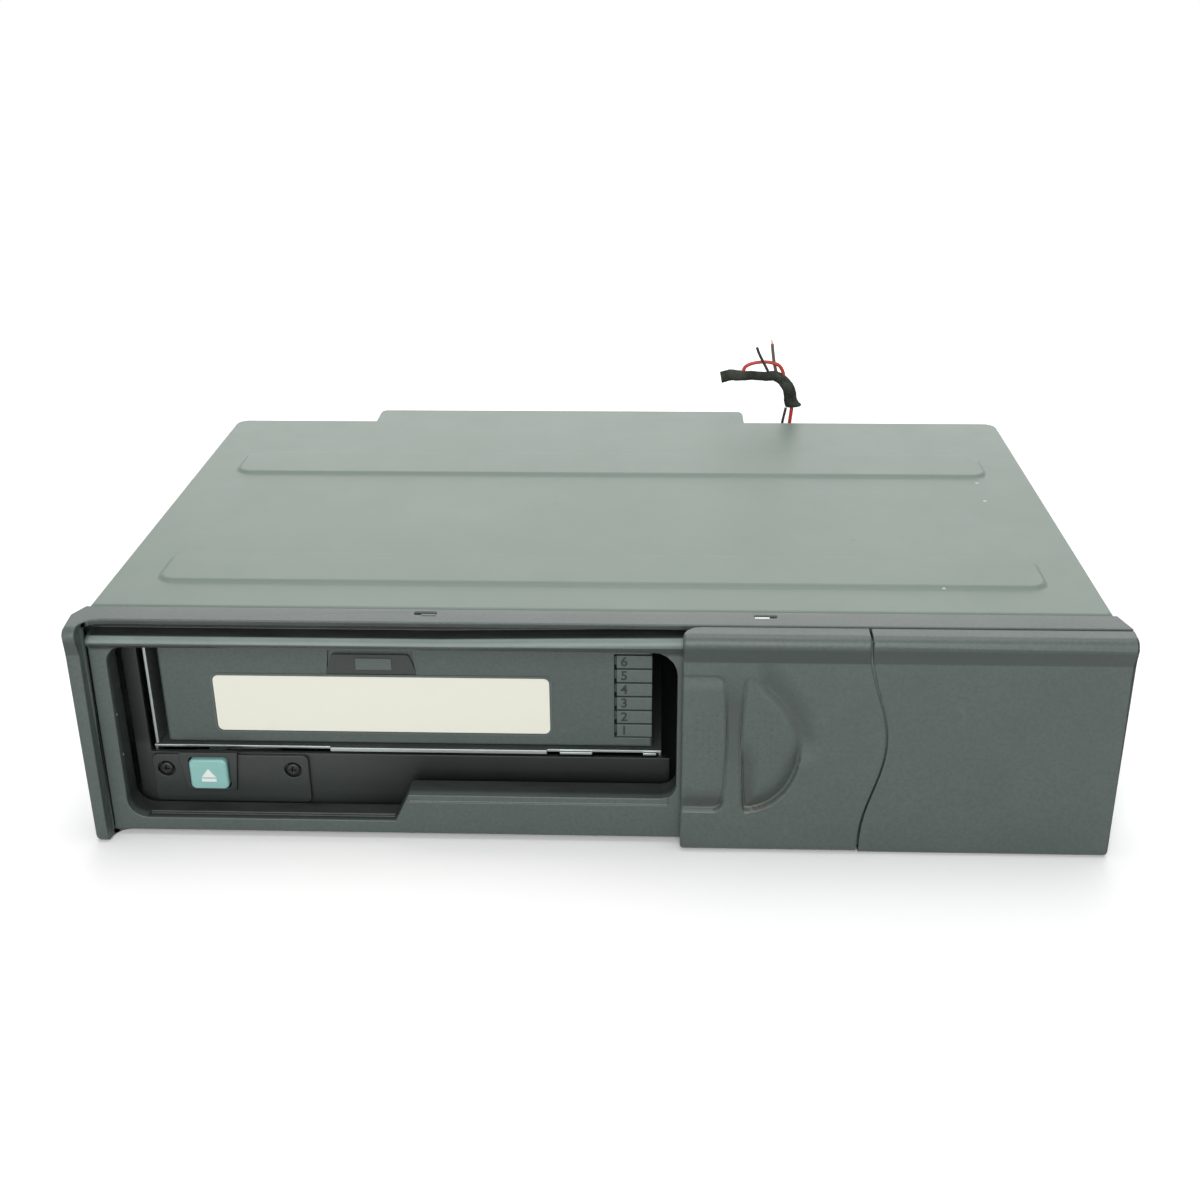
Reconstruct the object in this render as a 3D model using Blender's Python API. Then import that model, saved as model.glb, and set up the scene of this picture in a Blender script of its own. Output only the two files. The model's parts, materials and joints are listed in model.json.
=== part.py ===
"""A car disc changer that takes six discs in a slide-in magazine.

The frame: X runs to the right, Y to the rear and Z up. The origin is on the
surface that the changer stands on, under the middle of its bounding box.
Lengths are metres.
"""

import math

import bmesh
import bpy
from mathutils import Matrix, Vector

MM = 0.001

# Whole changer
FASCIA_WIDTH = 260 * MM
FASCIA_DEPTH = 14 * MM
FASCIA_OVERHANG = 2.5 * MM
COVER_LENGTH = 148 * MM
COVER_TOP = 61.6 * MM
CAP_DEPTH = 15 * MM
SHEET = 0.8 * MM
GAP = 0.3 * MM
OVERRUN = 6 * MM

# Top cover
COVER_CORNER = 4 * MM
COVER_EDGE = 1.0 * MM
COVER_FLANGE = 12 * MM
EMBOSS_LENGTH = 231 * MM
EMBOSS_WIDTH = 20 * MM
EMBOSS_RISE = 0.8 * MM
EMBOSS_SLOPE = 1.1 * MM
EMBOSS_CORNER = 4 * MM
EMBOSS_INSET = 14.2 * MM
EMBOSS_PITCH = 80.8 * MM

# Chassis pan
PAN_RISE = 1.6 * MM
PAN_CORNER = 2.5 * MM
FOOT_RADIUS = 6 * MM
FOOT_SIDE_INSET = 22 * MM
FOOT_END_INSET = 20 * MM
BRACKET_HOLE_RADIUS = 2.2 * MM
BRACKET_HOLE_LOW = 16 * MM
BRACKET_HOLE_RISE = 24 * MM
BRACKET_HOLE_INSET = 30 * MM
BRACKET_HOLE_PITCH = 90 * MM
REAR_WINDOW_MARGIN = 4 * MM
VENT_LENGTH = 16 * MM
VENT_WIDTH = 2.4 * MM
VENT_PITCH = 6 * MM
VENT_COUNT = 4
VENT_LOW = 22 * MM
VENT_X = 84 * MM

# Rear cap
CAP_LEFT = -80.9 * MM
CAP_WIDTH = 125.1 * MM
CAP_BOTTOM = 6 * MM
CAP_DROP = 1.2 * MM
CAP_WALL = 1.0 * MM
CAP_CORNER = 2.0 * MM

# Front bezel
END_WALL = 3.5 * MM
END_WALL_EDGE = 1.1 * MM
COLLAR_LENGTH = 7.5 * MM
COLLAR_WALL = 1.6 * MM
RING_SIDE_WALL = 2.4 * MM
RING_FLOOR = 1.9 * MM
POCKET_CORNER = 4.5 * MM
FRAME_SETBACK = 4.0 * MM
FRAME_BOTTOM = 1.5 * MM
FRAME_TOE = 0.7 * MM
FRAME_CREASE = 0.35 * MM
FRAME_SIDE_GROOVE = 0.6 * MM
RAIL_DROP = 2.7 * MM
RAIL_NOSE = 2.0 * MM
SLOT_DEPTH = 6.0 * MM
WEB_INSET = 2.0 * MM
WEB_OVERLAP = 0.6 * MM
CREASE_DROP = 7.6 * MM
LOW_CREASE = 8.4 * MM
CREASE_DEPTH = 0.5 * MM
NOSE_RADIUS = 2.5 * MM
TOE_RADIUS = 2.0 * MM
BAY_WALL = 2.5 * MM
BAY_MARGIN = 6 * MM
SNAP_WIDTH = 5.4 * MM
SNAP_LENGTH = 1.4 * MM
SNAP_DEPTH = 1.3 * MM
SNAP_HALF_PITCH = 42 * MM
SNAP_SETBACK = 4.3 * MM

# Window in the bezel
WINDOW_SIDE = 8.4 * MM
WINDOW_WIDTH = 142.2 * MM
WINDOW_TOP_DROP = 7.2 * MM
WINDOW_BOTTOM = 5.4 * MM
LIP_TOP = 13.0 * MM
LIP_STEP_X = -51.8 * MM
LIP_STEP_RUN = 3.6 * MM
LIP_BAND = 1.8 * MM
LIP_BAND_DEPTH = 0.4 * MM
LEDGE_GROOVE_DEPTH = 0.9 * MM
LEDGE_GROOVE_WIDTH = 2.4 * MM
LEDGE_GROOVE_SETBACK = 0.9 * MM
LEDGE_GROOVE_INSET = 4.6 * MM
WINDOW_RADIUS_LOW_LEFT = 5.0 * MM
WINDOW_RADIUS_LOW_RIGHT = 4.0 * MM
WINDOW_RADIUS_TOP_RIGHT = 6.5 * MM
WINDOW_RADIUS_TOP_LEFT = 4.5 * MM

# Sliding door and the fixed cover beside it
GRIP_OVERLAP = 1.1 * MM
GRIP_WIDTH = 44.9 * MM
GRIP_WALL = 2.5 * MM
GRIP_FLANGE = 1.2 * MM
GRIP_LIP = 0.9 * MM
GRIP_TOP_DROP = 0.3 * MM
GRIP_CORNER = 4.2 * MM
GRIP_FRONT_CORNER = 0.8 * MM
BOW_DEPTH = 5.4 * MM
BOW_HALF_HEIGHT = 27.5 * MM
BOW_CENTRE = 32 * MM
BOW_SLIT = 0.5 * MM
COVER_B_WALL = 1.5 * MM
COVER_B_EDGE = 1.9 * MM
HOOK_TONGUE = 0.5 * MM
HOOK_RISER = 0.7 * MM
HOOK_LENGTH = 4.0 * MM
HOOK_INSET = 4 * MM
APRON_THICKNESS = 0.7 * MM
APRON_MARGIN = 0.4 * MM
LEAF_THICKNESS = 0.8 * MM
LEAF_FLANGE = 0.6 * MM
LEAF_FLANGE_DEPTH = 2.3 * MM
LEAF_OVERLAP = 2.0 * MM
LEAF_LEFT_INSET = 9.3 * MM
LEAF_END_GAP = 0.9 * MM
SCOOP_LOW = 12.2 * MM
SCOOP_HEIGHT = 37.8 * MM
SCOOP_DEPTH = 1.6 * MM
SCOOP_SHALLOW = 0.5 * MM
SCOOP_CORNER = 3.5 * MM
LEFT_SCOOP_WIDTH = 9.6 * MM
LEFT_SCOOP_BOW = 1.2 * MM
GRIP_BAR = 4.0 * MM
RIGHT_SCOOP_WIDTH = 14.5 * MM

# Bay behind the window
SILL_SETBACK = 14.6 * MM
SILL_THICKNESS = 1.5 * MM
SILL_LEFT = -121.3 * MM
SILL_WIDTH = 140.3 * MM
SILL_BOTTOM = 3.5 * MM
SILL_TOP = 18.9 * MM
SILL_COLUMN = 3.9 * MM
SILL_COLUMN_TOP = 56 * MM
EJECT_COVER_INSET = 12.9 * MM
EJECT_COVER_WIDTH = 41.4 * MM
EJECT_COVER_BOTTOM = 4.6 * MM
EJECT_COVER_HEIGHT = 14.2 * MM
EJECT_COVER_THICKNESS = 0.9 * MM
EJECT_COVER_CORNER = 1.5 * MM
BUTTON_INSET = 28.2 * MM
BUTTON_Z = 14.0 * MM
BUTTON_WIDTH = 10.1 * MM
BUTTON_HEIGHT = 8.9 * MM
BUTTON_PROUD = 2.1 * MM
BUTTON_BODY = 4.2 * MM
BUTTON_CORNER = 1.4 * MM
BUTTON_EDGE = 0.5 * MM
BUTTON_TRAVEL = 2.5 * MM
STEM_WIDTH = 5.0 * MM
STEM_HEIGHT = 4.0 * MM
STEM_LENGTH = 7.0 * MM
SURROUND_TOP_WIDTH = 15.6 * MM
SURROUND_BOTTOM_WIDTH = 13.2 * MM
SURROUND_TOP = 6.0 * MM
SURROUND_BOTTOM = 5.4 * MM
SURROUND_PROUD = 1.0 * MM
SCREW_Z = 14.5 * MM
LEFT_SCREW_INSET = 3.5 * MM
RIGHT_SCREW_INSET = 4.2 * MM
SCREW_HEAD_RADIUS = 1.8 * MM
SCREW_HEAD_HEIGHT = 1.0 * MM
SCREW_SHANK_RADIUS = 1.0 * MM
SCREW_SHANK_LENGTH = 3.0 * MM
SCREW_RECESS_RADIUS = 2.3 * MM
SCREW_BORE_GAP = 0.25 * MM
CROSS_LENGTH = 2.2 * MM
CROSS_WIDTH = 0.5 * MM
CROSS_DEPTH = 0.5 * MM

# Magazine
MAGAZINE_LEFT = -113.0 * MM
MAGAZINE_WIDTH = 127.4 * MM
MAGAZINE_SETBACK = 16.5 * MM
MAGAZINE_LENGTH = 128 * MM
MAGAZINE_BOTTOM = 21.0 * MM
MAGAZINE_HEIGHT = 31.0 * MM
MAGAZINE_WALL = 1.6 * MM
MAGAZINE_EDGE = 0.9 * MM
MAGAZINE_TRAVEL = 145 * MM
SHELF_THICKNESS = 0.9 * MM
SHELF_DEPTH = 1.8 * MM
TRAY_COUNT = 6
TRAY_PITCH = 4.0 * MM
FIRST_TRAY_RISE = 3.15 * MM
TRAY_THICKNESS = 2.5 * MM
TRAY_FLOOR = 1.0 * MM
TRAY_CORNER = 6 * MM
TRAY_SIDE_GAP = 0.6 * MM
DISC_RADIUS = 60 * MM
DISC_PLAY = 0.5 * MM
TRAY_SLOT_RADIUS = 22 * MM
TAB_WIDTH = 9.1 * MM
TAB_THICKNESS = 3.6 * MM
TAB_OVERLAP = 1.0 * MM
TAB_OPENING = 0.6 * MM
NOTCH_WIDTH = 7.2 * MM
NOTCH_DEPTH = 4.7 * MM
NOTCH_EAR = 1.7 * MM
CORNER_CUT = 10.4 * MM
CORNER_CUT_DEPTH = 8.0 * MM
LATCH_GROOVE_MARGIN = 2.7 * MM
LATCH_GROOVE_WIDTH = 8.4 * MM
LATCH_GROOVE_DEPTH = 0.9 * MM
LATCH_GROOVE_START = 10 * MM
FRONT_NOTCH_X = -57.8 * MM
FRONT_NOTCH_WIDTH = 23.0 * MM
FRONT_NOTCH_TAPER = 1.8 * MM
FRONT_NOTCH_LOW = 41.4 * MM
FRONT_NOTCH_DEPTH = 0.6 * MM

# Magazine floor plate, guide, latch and ejector
PLATE_TOP = 20.4 * MM
PLATE_SIDE_MARGIN = 3.8 * MM
PLATE_RIGHT_MARGIN = 2.4 * MM
PLATE_FRONT_LIP = 0.5 * MM
PLATE_REAR_MARGIN = 0.2 * MM
PLATE_CORNER_CUT = 14.3 * MM
PLATE_CORNER_DEPTH = 8.4 * MM
LIP_STRIP_LEFT = -70 * MM
LIP_STRIP_WIDTH = 57 * MM
LIP_STRIP_DROP = 1.2 * MM
LIP_STRIP_THICKNESS = 0.7 * MM
SMALL_STRIP_LEFT = -9.7 * MM
SMALL_STRIP_WIDTH = 8.5 * MM
END_STRIP_LEFT = 12 * MM
END_STRIP_WIDTH = 3.5 * MM
GUIDE_RISE = 1.1 * MM
PIVOT_OFFSET = 13.8 * MM
PIVOT_Y = -62 * MM
PIVOT_RADIUS = 1.5 * MM
PIVOT_LENGTH = 7.0 * MM
LEVER_BOTTOM = 13.6 * MM
LEVER_THICKNESS = 1.6 * MM
LEVER_RADIUS = 3.0 * MM
LEVER_BORE = 1.75 * MM
LEVER_PAD_SETBACK = 0.5 * MM
LEVER_HOOK_OFFSET = 4.5 * MM
LEVER_HOOK_Y = -48 * MM
HOOK_HALF = 1.4 * MM
HOOK_TOP_DROP = 0.3 * MM
LATCH_SLOT_MARGIN = 1.8 * MM
EJECTOR_X = -45 * MM
EJECTOR_WIDTH = 10 * MM
EJECTOR_BASE = 1.8 * MM
EJECTOR_BASE_LENGTH = 30 * MM
EJECTOR_FOOT = 6 * MM
EJECTOR_POST = 3.8 * MM
EJECTOR_TOP = 40 * MM
EJECTOR_TRAVEL = 25 * MM
EJECTOR_SLOT_MARGIN = 1.5 * MM
SPRING_RADIUS = 2.1 * MM
SPRING_WIRE = 0.5 * MM
SPRING_Z = 14.4 * MM
SPRING_X = -57 * MM
SPRING_TURNS = 14
SPRING_TURN_POINTS = 9
SPRING_TAB = 6 * MM
SPRING_TAB_THICKNESS = 0.9 * MM
SPRING_TAB_LOW = 11.6 * MM

# Lifting deck in the right-hand bay
SPINDLE_X = 60 * MM
SPINDLE_Y = -8 * MM
LIFT = 25.4 * MM
LIFT_LEFT = 22 * MM
LIFT_RIGHT = 124 * MM
LIFT_FRONT = -72.2 * MM
LIFT_REAR = 62.2 * MM
LIFT_BOTTOM = 5.0 * MM
LIFT_PLATE = 1.2 * MM
LIFT_FLANGE = 9 * MM
LIFT_SIDE_FLANGE = 5 * MM
LIFT_FLANGE_THICKNESS = 1.0 * MM
LIFT_HOLE_RADIUS = 12 * MM
ARM_LEFT = 3.4 * MM
ARM_LUG = 1.2 * MM
ARM_LUG_FRONT = 57.2 * MM
PIN_RADIUS = 1.5 * MM
PIN_Z = 9 * MM
PIN_X = 56 * MM
PIN_PITCH = 40 * MM
PIN_FRONT_END = -76.1 * MM
PIN_REAR_END = 65.2 * MM
PIN_ROOT = 0.5 * MM
PIN_PLAY = 0.3 * MM
POST_PLATE_LEFT = 21 * MM
POST_PLATE_RIGHT = 125.3 * MM
POST_PLATE_TOP = 56 * MM
FRONT_POST_Y = -74.2 * MM
REAR_POST_Y = 62.6 * MM
REAR_POST_LEFT = -18 * MM
CAM_LEFT = 26.3 * MM
CAM_RIGHT = 99.2 * MM
CAM_BOTTOM = 5.0 * MM
CAM_TOP = 38.5 * MM
CAM_THICKNESS = 1.0 * MM
FRONT_CAM_Y = -75.8 * MM
REAR_CAM_Y = 63.9 * MM
RACK_BAR_TOP = 12.8 * MM
RACK_LEFT = -36 * MM
MODULE = 1.0 * MM
GEAR_TEETH = 16
PINION_TEETH = 8
TOOTH_TIP_SHARE = 0.26
TOOTH_PITCH_SHARE = 0.42
TOOTH_ROOT_SHARE = 0.64
ADDENDUM_SHARE = 0.82
DEDENDUM_SHARE = 1.15
GEAR_X = -4 * MM
GEAR_Z = 22 * MM
GEAR_THICKNESS = 2.6 * MM
STUD_RADIUS = 1.5 * MM
STUD_PLAY = 0.2 * MM
LIFT_MOTOR_RADIUS = 9 * MM
LIFT_MOTOR_FRONT = 67.3 * MM
LIFT_MOTOR_LENGTH = 4.0 * MM
LIFT_SHAFT_RADIUS = 1.0 * MM

# Tray drive
DRIVE_SCREW_Y = 59.4 * MM
DRIVE_SCREW_Z = 11 * MM
DRIVE_SCREW_RADIUS = 0.9 * MM
DRIVE_BORE_RADIUS = 1.15 * MM
DRIVE_MOTOR_RADIUS = 2.7 * MM
DRIVE_MOTOR_LENGTH = 13.5 * MM
SLIDER_LEFT = 5.0 * MM
SLIDER_WIDTH = 8.0 * MM
SLIDER_FRONT = 57.4 * MM
SLIDER_REAR = 60.9 * MM
SLIDER_BOTTOM = 8.6 * MM
SLIDER_TOP = 23.4 * MM
FINGER_WIDTH = 5.4 * MM
FINGER_FRONT = 50.2 * MM
FINGER_HEIGHT = 3.6 * MM

# Disc drive on the deck
DECK_LEFT = 24 * MM
DECK_RIGHT = 124 * MM
DECK_FRONT = -50 * MM
DECK_REAR = 44 * MM
DECK_BOTTOM = 13.0 * MM
DECK_THICKNESS = 1.2 * MM
DECK_CORNER = 6 * MM
DAMPER_RADIUS = 4.5 * MM
DAMPER_WAIST = 3.1 * MM
DAMPER_INSET = 6 * MM
SPINDLE_MOTOR_RADIUS = 13 * MM
SPINDLE_MOTOR_BOTTOM = 7.0 * MM
SHAFT_RADIUS = 1.0 * MM
SHAFT_TOP = 20.7 * MM
SHAFT_PLAY = 0.3 * MM
TABLE_RADIUS = 15.5 * MM
TABLE_BOTTOM = 18.6 * MM
TABLE_TOP = 20.2 * MM
HUB_RADIUS = 7.4 * MM
HUB_TIP_RADIUS = 5.6 * MM
HUB_TOP = 23.2 * MM
HUB_BORE_TOP = 21.2 * MM
LENS_START = 24 * MM
SLED_TRAVEL = 32 * MM
SLED_AHEAD = 4.5 * MM
SLED_BEHIND = 7.5 * MM
SLED_BOTTOM = 10.5 * MM
SLED_TOP = 18.2 * MM
SLED_HALF = 14 * MM
SADDLE_LOW = 14.5 * MM
ROD_RADIUS = 1.5 * MM
ROD_Z = 16 * MM
FRONT_ROD_OFFSET = 17 * MM
REAR_ROD_OFFSET = 17.5 * MM
SCREW_OFFSET = 25.5 * MM
LEAD_SCREW_RADIUS = 1.4 * MM
ROD_LUG_LEFT = 73 * MM
ROD_LUG = 2.6 * MM
ROD_LUG_HALF = 2.8 * MM
ROD_LUG_TOP = 18.6 * MM
SADDLE_MARGIN = 3.1 * MM
LENS_RADIUS = 3.2 * MM
LENS_TIP_RADIUS = 2.0 * MM
LENS_RISE = 0.7 * MM
SLED_MOTOR_RADIUS = 4.6 * MM
SLED_MOTOR_LENGTH = 16.4 * MM
SLED_MOTOR_LEFT = 58 * MM

# Circuit board
BOARD_LEFT = -112 * MM
BOARD_WIDTH = 124 * MM
BOARD_FRONT = -58 * MM
BOARD_LENGTH = 106 * MM
BOARD_BOTTOM = 5.0 * MM
BOARD_THICKNESS = 1.6 * MM
BOARD_POST_RADIUS = 2.5 * MM
BOARD_POST_INSET = 6 * MM
CHIP_HEIGHT = 2.2 * MM
CHIP_SIZE = 18 * MM
CAN_RADIUS = 2.6 * MM
CAN_HEIGHT = 3.6 * MM
CHIP_SHARES = ((0.22, 0.30), (0.55, 0.36), (0.30, 0.66), (0.72, 0.70))
CAN_SHARES = ((0.84, 0.20), (0.86, 0.34), (0.12, 0.84), (0.22, 0.88), (0.60, 0.88))

# Cable entry and the cut-off harness
ENTRY_X = 58.6 * MM
ENTRY_Z = 34 * MM
ENTRY_RADIUS = 4.2 * MM
ENTRY_FLANGE_RADIUS = 6.0 * MM
ENTRY_FLANGE = 1.2 * MM
RED_WIRE = 1.25 * MM
BLACK_WIRE = 0.9 * MM
TAPED_BUNDLE = 4.8 * MM
RED_ROUTE_MM = [
    (59.8, 74.4, 34.9), (59.9, 76.2, 35.6), (60.1, 78.4, 38.0), (60.2, 79.6, 43.0),
    (60.0, 80.2, 50.0), (59.7, 80.2, 57.0), (60.3, 80.0, 64.6),
]
BLACK_ROUTE_MM = [
    (57.4, 74.4, 34.9), (57.3, 76.2, 35.8), (57.2, 78.4, 38.4), (57.0, 79.6, 44.0),
    (57.1, 80.1, 51.0), (57.2, 80.1, 58.0), (58.3, 80.0, 64.6),
]
BUNDLE_ROUTE_MM = [
    (60.1, 80.0, 65.3), (59.9, 80.0, 67.6), (59.2, 80.0, 70.6), (57.5, 80.0, 73.6),
    (54.6, 80.0, 75.3), (51.0, 80.0, 75.6), (47.0, 80.0, 75.8), (43.0, 80.0, 75.9),
    (39.2, 80.0, 75.7), (36.1, 80.0, 75.1),
]

# Steps along curves
ARC_STEPS = 5
ROUND_STEPS = 32
SMALL_ROUND_STEPS = 16
BOW_STEPS = 20
CORD_SPACING_SHARE = 2.5
CORD_LEAST_PIECES = 9
SHARP_DEGREES = 32

# Places that follow from the sizes
HALF_FASCIA = FASCIA_WIDTH / 2
HALF_CHASSIS = HALF_FASCIA - FASCIA_OVERHANG
DEPTH = FASCIA_DEPTH + COVER_LENGTH + CAP_DEPTH
FRONT = -DEPTH / 2
COVER_FRONT = FRONT + FASCIA_DEPTH
COVER_REAR = COVER_FRONT + COVER_LENGTH
REAR = DEPTH / 2
PAN_HALF = HALF_CHASSIS - SHEET - GAP
PAN_FRONT = COVER_FRONT + GAP
PAN_REAR = COVER_REAR - SHEET - GAP
PAN_TOP = COVER_TOP - SHEET - GAP
PAN_FLOOR = PAN_RISE + SHEET
COLLAR_FRONT = COVER_FRONT - COLLAR_LENGTH
FRAME_FACE = FRONT + FRAME_SETBACK
RAIL_TOP = COVER_TOP - RAIL_DROP
WEB_BACK = COVER_FRONT - WEB_INSET
CREASE_Z = COVER_TOP - CREASE_DROP
WINDOW_LEFT = -HALF_FASCIA + WINDOW_SIDE
WINDOW_RIGHT = WINDOW_LEFT + WINDOW_WIDTH
WINDOW_TOP = COVER_TOP - WINDOW_TOP_DROP
POCKET_LEFT = -HALF_FASCIA + END_WALL
GRIP_LEFT = WINDOW_RIGHT + GRIP_OVERLAP
GRIP_RIGHT = GRIP_LEFT + GRIP_WIDTH
GRIP_TOP = COVER_TOP - GRIP_TOP_DROP
GRIP_INNER_TOP = GRIP_TOP - GRIP_FLANGE
WRAP_REAR = COLLAR_FRONT - GAP
GRIP_INNER_FACE = FRONT + GRIP_WALL
APRON_RIGHT = HALF_FASCIA - COVER_B_WALL - LEAF_END_GAP / 2
LEAF_LEFT = GRIP_LEFT + LEAF_LEFT_INSET
LEAF_RIGHT = HALF_FASCIA - COVER_B_WALL - LEAF_END_GAP
SHUTTER_BOTTOM = FRAME_BOTTOM + GAP / 3
SHUTTER_TOP = GRIP_INNER_TOP - GAP
MAGAZINE_FRONT = FRONT + MAGAZINE_SETBACK
MAGAZINE_RIGHT = MAGAZINE_LEFT + MAGAZINE_WIDTH
MAGAZINE_REAR = MAGAZINE_FRONT + MAGAZINE_LENGTH
MAGAZINE_TOP = MAGAZINE_BOTTOM + MAGAZINE_HEIGHT
TRAY_FRONT = MAGAZINE_FRONT + MAGAZINE_WALL + GAP
TRAY_REAR = MAGAZINE_REAR - MAGAZINE_WALL - GAP
TRAY_LEFT = MAGAZINE_LEFT + MAGAZINE_WALL + TRAY_SIDE_GAP
TRAY_RIGHT = MAGAZINE_RIGHT - GAP / 3
DISC_Y = (TRAY_FRONT + TRAY_REAR) / 2
DISC_X = TRAY_LEFT + TRAY_SIDE_GAP + DISC_RADIUS + 2 * DISC_PLAY
TAB_LEFT = TRAY_RIGHT - TAB_WIDTH
SILL_FACE = FRONT + SILL_SETBACK
EJECT_FACE = SILL_FACE - GAP - EJECT_COVER_THICKNESS
EJECT_COVER_LEFT = -HALF_FASCIA + EJECT_COVER_INSET
EJECT_COVER_RIGHT = EJECT_COVER_LEFT + EJECT_COVER_WIDTH
LEFT_SCREW_X = EJECT_COVER_LEFT + LEFT_SCREW_INSET
RIGHT_SCREW_X = EJECT_COVER_RIGHT - RIGHT_SCREW_INSET
BUTTON_X = -HALF_FASCIA + BUTTON_INSET
PIVOT_X = BUTTON_X + PIVOT_OFFSET
LEVER_HOOK_X = PIVOT_X - LEVER_HOOK_OFFSET
LATCH_GROOVE_LEFT = LEVER_HOOK_X - LATCH_GROOVE_MARGIN
PLATE_BOTTOM = PLATE_TOP - SHEET
LEVER_PAD_Y = SILL_FACE - BUTTON_PROUD - EJECT_COVER_THICKNESS - GAP + BUTTON_BODY + STEM_LENGTH
ENTRY_Y = PAN_REAR


def clear_scene():
    """Removes every object that the file starts with."""
    for item in list(bpy.data.objects):
        bpy.data.objects.remove(item, do_unlink=True)


def make_material(name, colour, roughness, metallic=0.0):
    """A plain material with a colour, a roughness and a metallic value."""
    made = bpy.data.materials.new(name)
    made.use_nodes = True
    shader = made.node_tree.nodes["Principled BSDF"]
    shader.inputs["Base Color"].default_value = (*colour, 1.0)
    shader.inputs["Roughness"].default_value = roughness
    shader.inputs["Metallic"].default_value = metallic
    return made


def on_axis(axis, along, pair):
    """The point at a distance along an axis, with the other two coordinates in X, Y, Z order."""
    first, second = pair
    if axis == "X":
        return Vector((along, first, second))
    if axis == "Y":
        return Vector((first, along, second))
    return Vector((first, second, along))


def add_object(name, bm):
    """Links a mesh object made from a bmesh, with its faces turned outwards."""
    bmesh.ops.recalc_face_normals(bm, faces=bm.faces)
    mesh = bpy.data.meshes.new(name)
    bm.to_mesh(mesh)
    bm.free()
    made = bpy.data.objects.new(name, mesh)
    bpy.context.scene.collection.objects.link(made)
    return made


def prism(name, outline, axis, start, end):
    """A solid that carries a flat outline from start to end along an axis."""
    bm = bmesh.new()
    low = [bm.verts.new(on_axis(axis, start, pair)) for pair in outline]
    high = [bm.verts.new(on_axis(axis, end, pair)) for pair in outline]
    count = len(outline)
    bm.faces.new(low)
    bm.faces.new(high)
    for index in range(count):
        after = (index + 1) % count
        bm.faces.new((low[index], low[after], high[after], high[index]))
    return add_object(name, bm)


def box(name, x_span, y_span, z_span):
    """A rectangular block between pairs of limits."""
    outline = [
        (x_span[0], y_span[0]),
        (x_span[1], y_span[0]),
        (x_span[1], y_span[1]),
        (x_span[0], y_span[1]),
    ]
    return prism(name, outline, "Z", z_span[0], z_span[1])


def arc(centre, radius, start_degrees, end_degrees, steps=ARC_STEPS):
    """Points along an arc, both ends included."""
    points = []
    for index in range(steps + 1):
        share = index / steps
        angle = math.radians(start_degrees + (end_degrees - start_degrees) * share)
        points.append((centre[0] + radius * math.cos(angle), centre[1] + radius * math.sin(angle)))
    return points


def circle(centre, radius, steps=ROUND_STEPS):
    """The points of a whole circle."""
    return arc(centre, radius, 0, 360 - 360 / steps, steps - 1)


def rounded_rectangle(x_span, y_span, radii, steps=ARC_STEPS):
    """A rectangle whose corners have their own radii: low left, low right, high right, high left."""
    low_x, high_x = x_span
    low_y, high_y = y_span
    corners = [
        (low_x, low_y, 1, 1, 180),
        (high_x, low_y, -1, 1, 270),
        (high_x, high_y, -1, -1, 0),
        (low_x, high_y, 1, -1, 90),
    ]
    points = []
    for (x, y, right, up, angle), radius in zip(corners, radii):
        if radius == 0:
            points.append((x, y))
            continue
        points += arc((x + right * radius, y + up * radius), radius, angle, angle + 90, steps)
    return points


def cylinder(name, axis, centre, radius, start, end, steps=ROUND_STEPS):
    """A round bar along an axis."""
    return prism(name, circle(centre, radius, steps), axis, start, end)


def turned(name, centre, profile, steps=ROUND_STEPS):
    """A solid of revolution about a vertical axis; the profile is (radius, z) from one end to the other."""
    bm = bmesh.new()
    rings = []
    for radius, z in profile:
        if radius == 0:
            rings.append([bm.verts.new((centre[0], centre[1], z))])
            continue
        rings.append([bm.verts.new((*point, z)) for point in circle(centre, radius, steps)])
    for near, far in zip(rings, rings[1:]):
        for index in range(steps):
            after = (index + 1) % steps
            if len(near) == 1:
                bm.faces.new((near[0], far[index], far[after]))
            elif len(far) == 1:
                bm.faces.new((near[index], near[after], far[0]))
            else:
                bm.faces.new((near[index], near[after], far[after], far[index]))
    return add_object(name, bm)


def combine(target, tools, operation):
    """Applies one boolean operation with each tool, then removes the tools."""
    for tool in tools:
        step = target.modifiers.new(operation.lower(), "BOOLEAN")
        step.operation = operation
        step.solver = "EXACT"
        step.object = tool
        graph = bpy.context.evaluated_depsgraph_get()
        mesh = bpy.data.meshes.new_from_object(target.evaluated_get(graph))
        target.modifiers.clear()
        old = target.data
        target.data = mesh
        bpy.data.meshes.remove(old)
        bpy.data.objects.remove(tool, do_unlink=True)
    return target


def cut(target, *tools):
    """Takes the tools out of the target."""
    return combine(target, tools, "DIFFERENCE")


def unite(target, *tools):
    """Joins the tools to the target as one body."""
    return combine(target, tools, "UNION")


def meet(target, *tools):
    """Keeps what the target shares with the tools."""
    return combine(target, tools, "INTERSECT")


def round_edges(target, wanted, width, segments=2):
    """Rounds the edges whose two ends both pass a test."""
    bm = bmesh.new()
    bm.from_mesh(target.data)
    edges = [edge for edge in bm.edges if all(wanted(vert.co) for vert in edge.verts)]
    bmesh.ops.bevel(
        bm, geom=edges, offset=width, segments=segments, profile=0.5, affect="EDGES", clamp_overlap=True
    )
    bmesh.ops.recalc_face_normals(bm, faces=bm.faces)
    bm.to_mesh(target.data)
    bm.free()
    return target


def near(value, place):
    """True where a coordinate lies at a place, within a hundredth of a clearance."""
    return abs(value - place) < GAP / 100


def finish(target, look):
    """Gives a piece its material and smooth round faces."""
    target.data.materials.clear()
    target.data.materials.append(look)
    if target.type == "MESH":
        target.data.shade_smooth()
        target.data.set_sharp_from_angle(angle=math.radians(SHARP_DEGREES))
    return target


def move_origin(target, point):
    """Puts an object's origin on its joint's axis and leaves its shape where it is."""
    target.data.transform(Matrix.Translation(-Vector(point)))
    target.location = point
    return target


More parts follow.
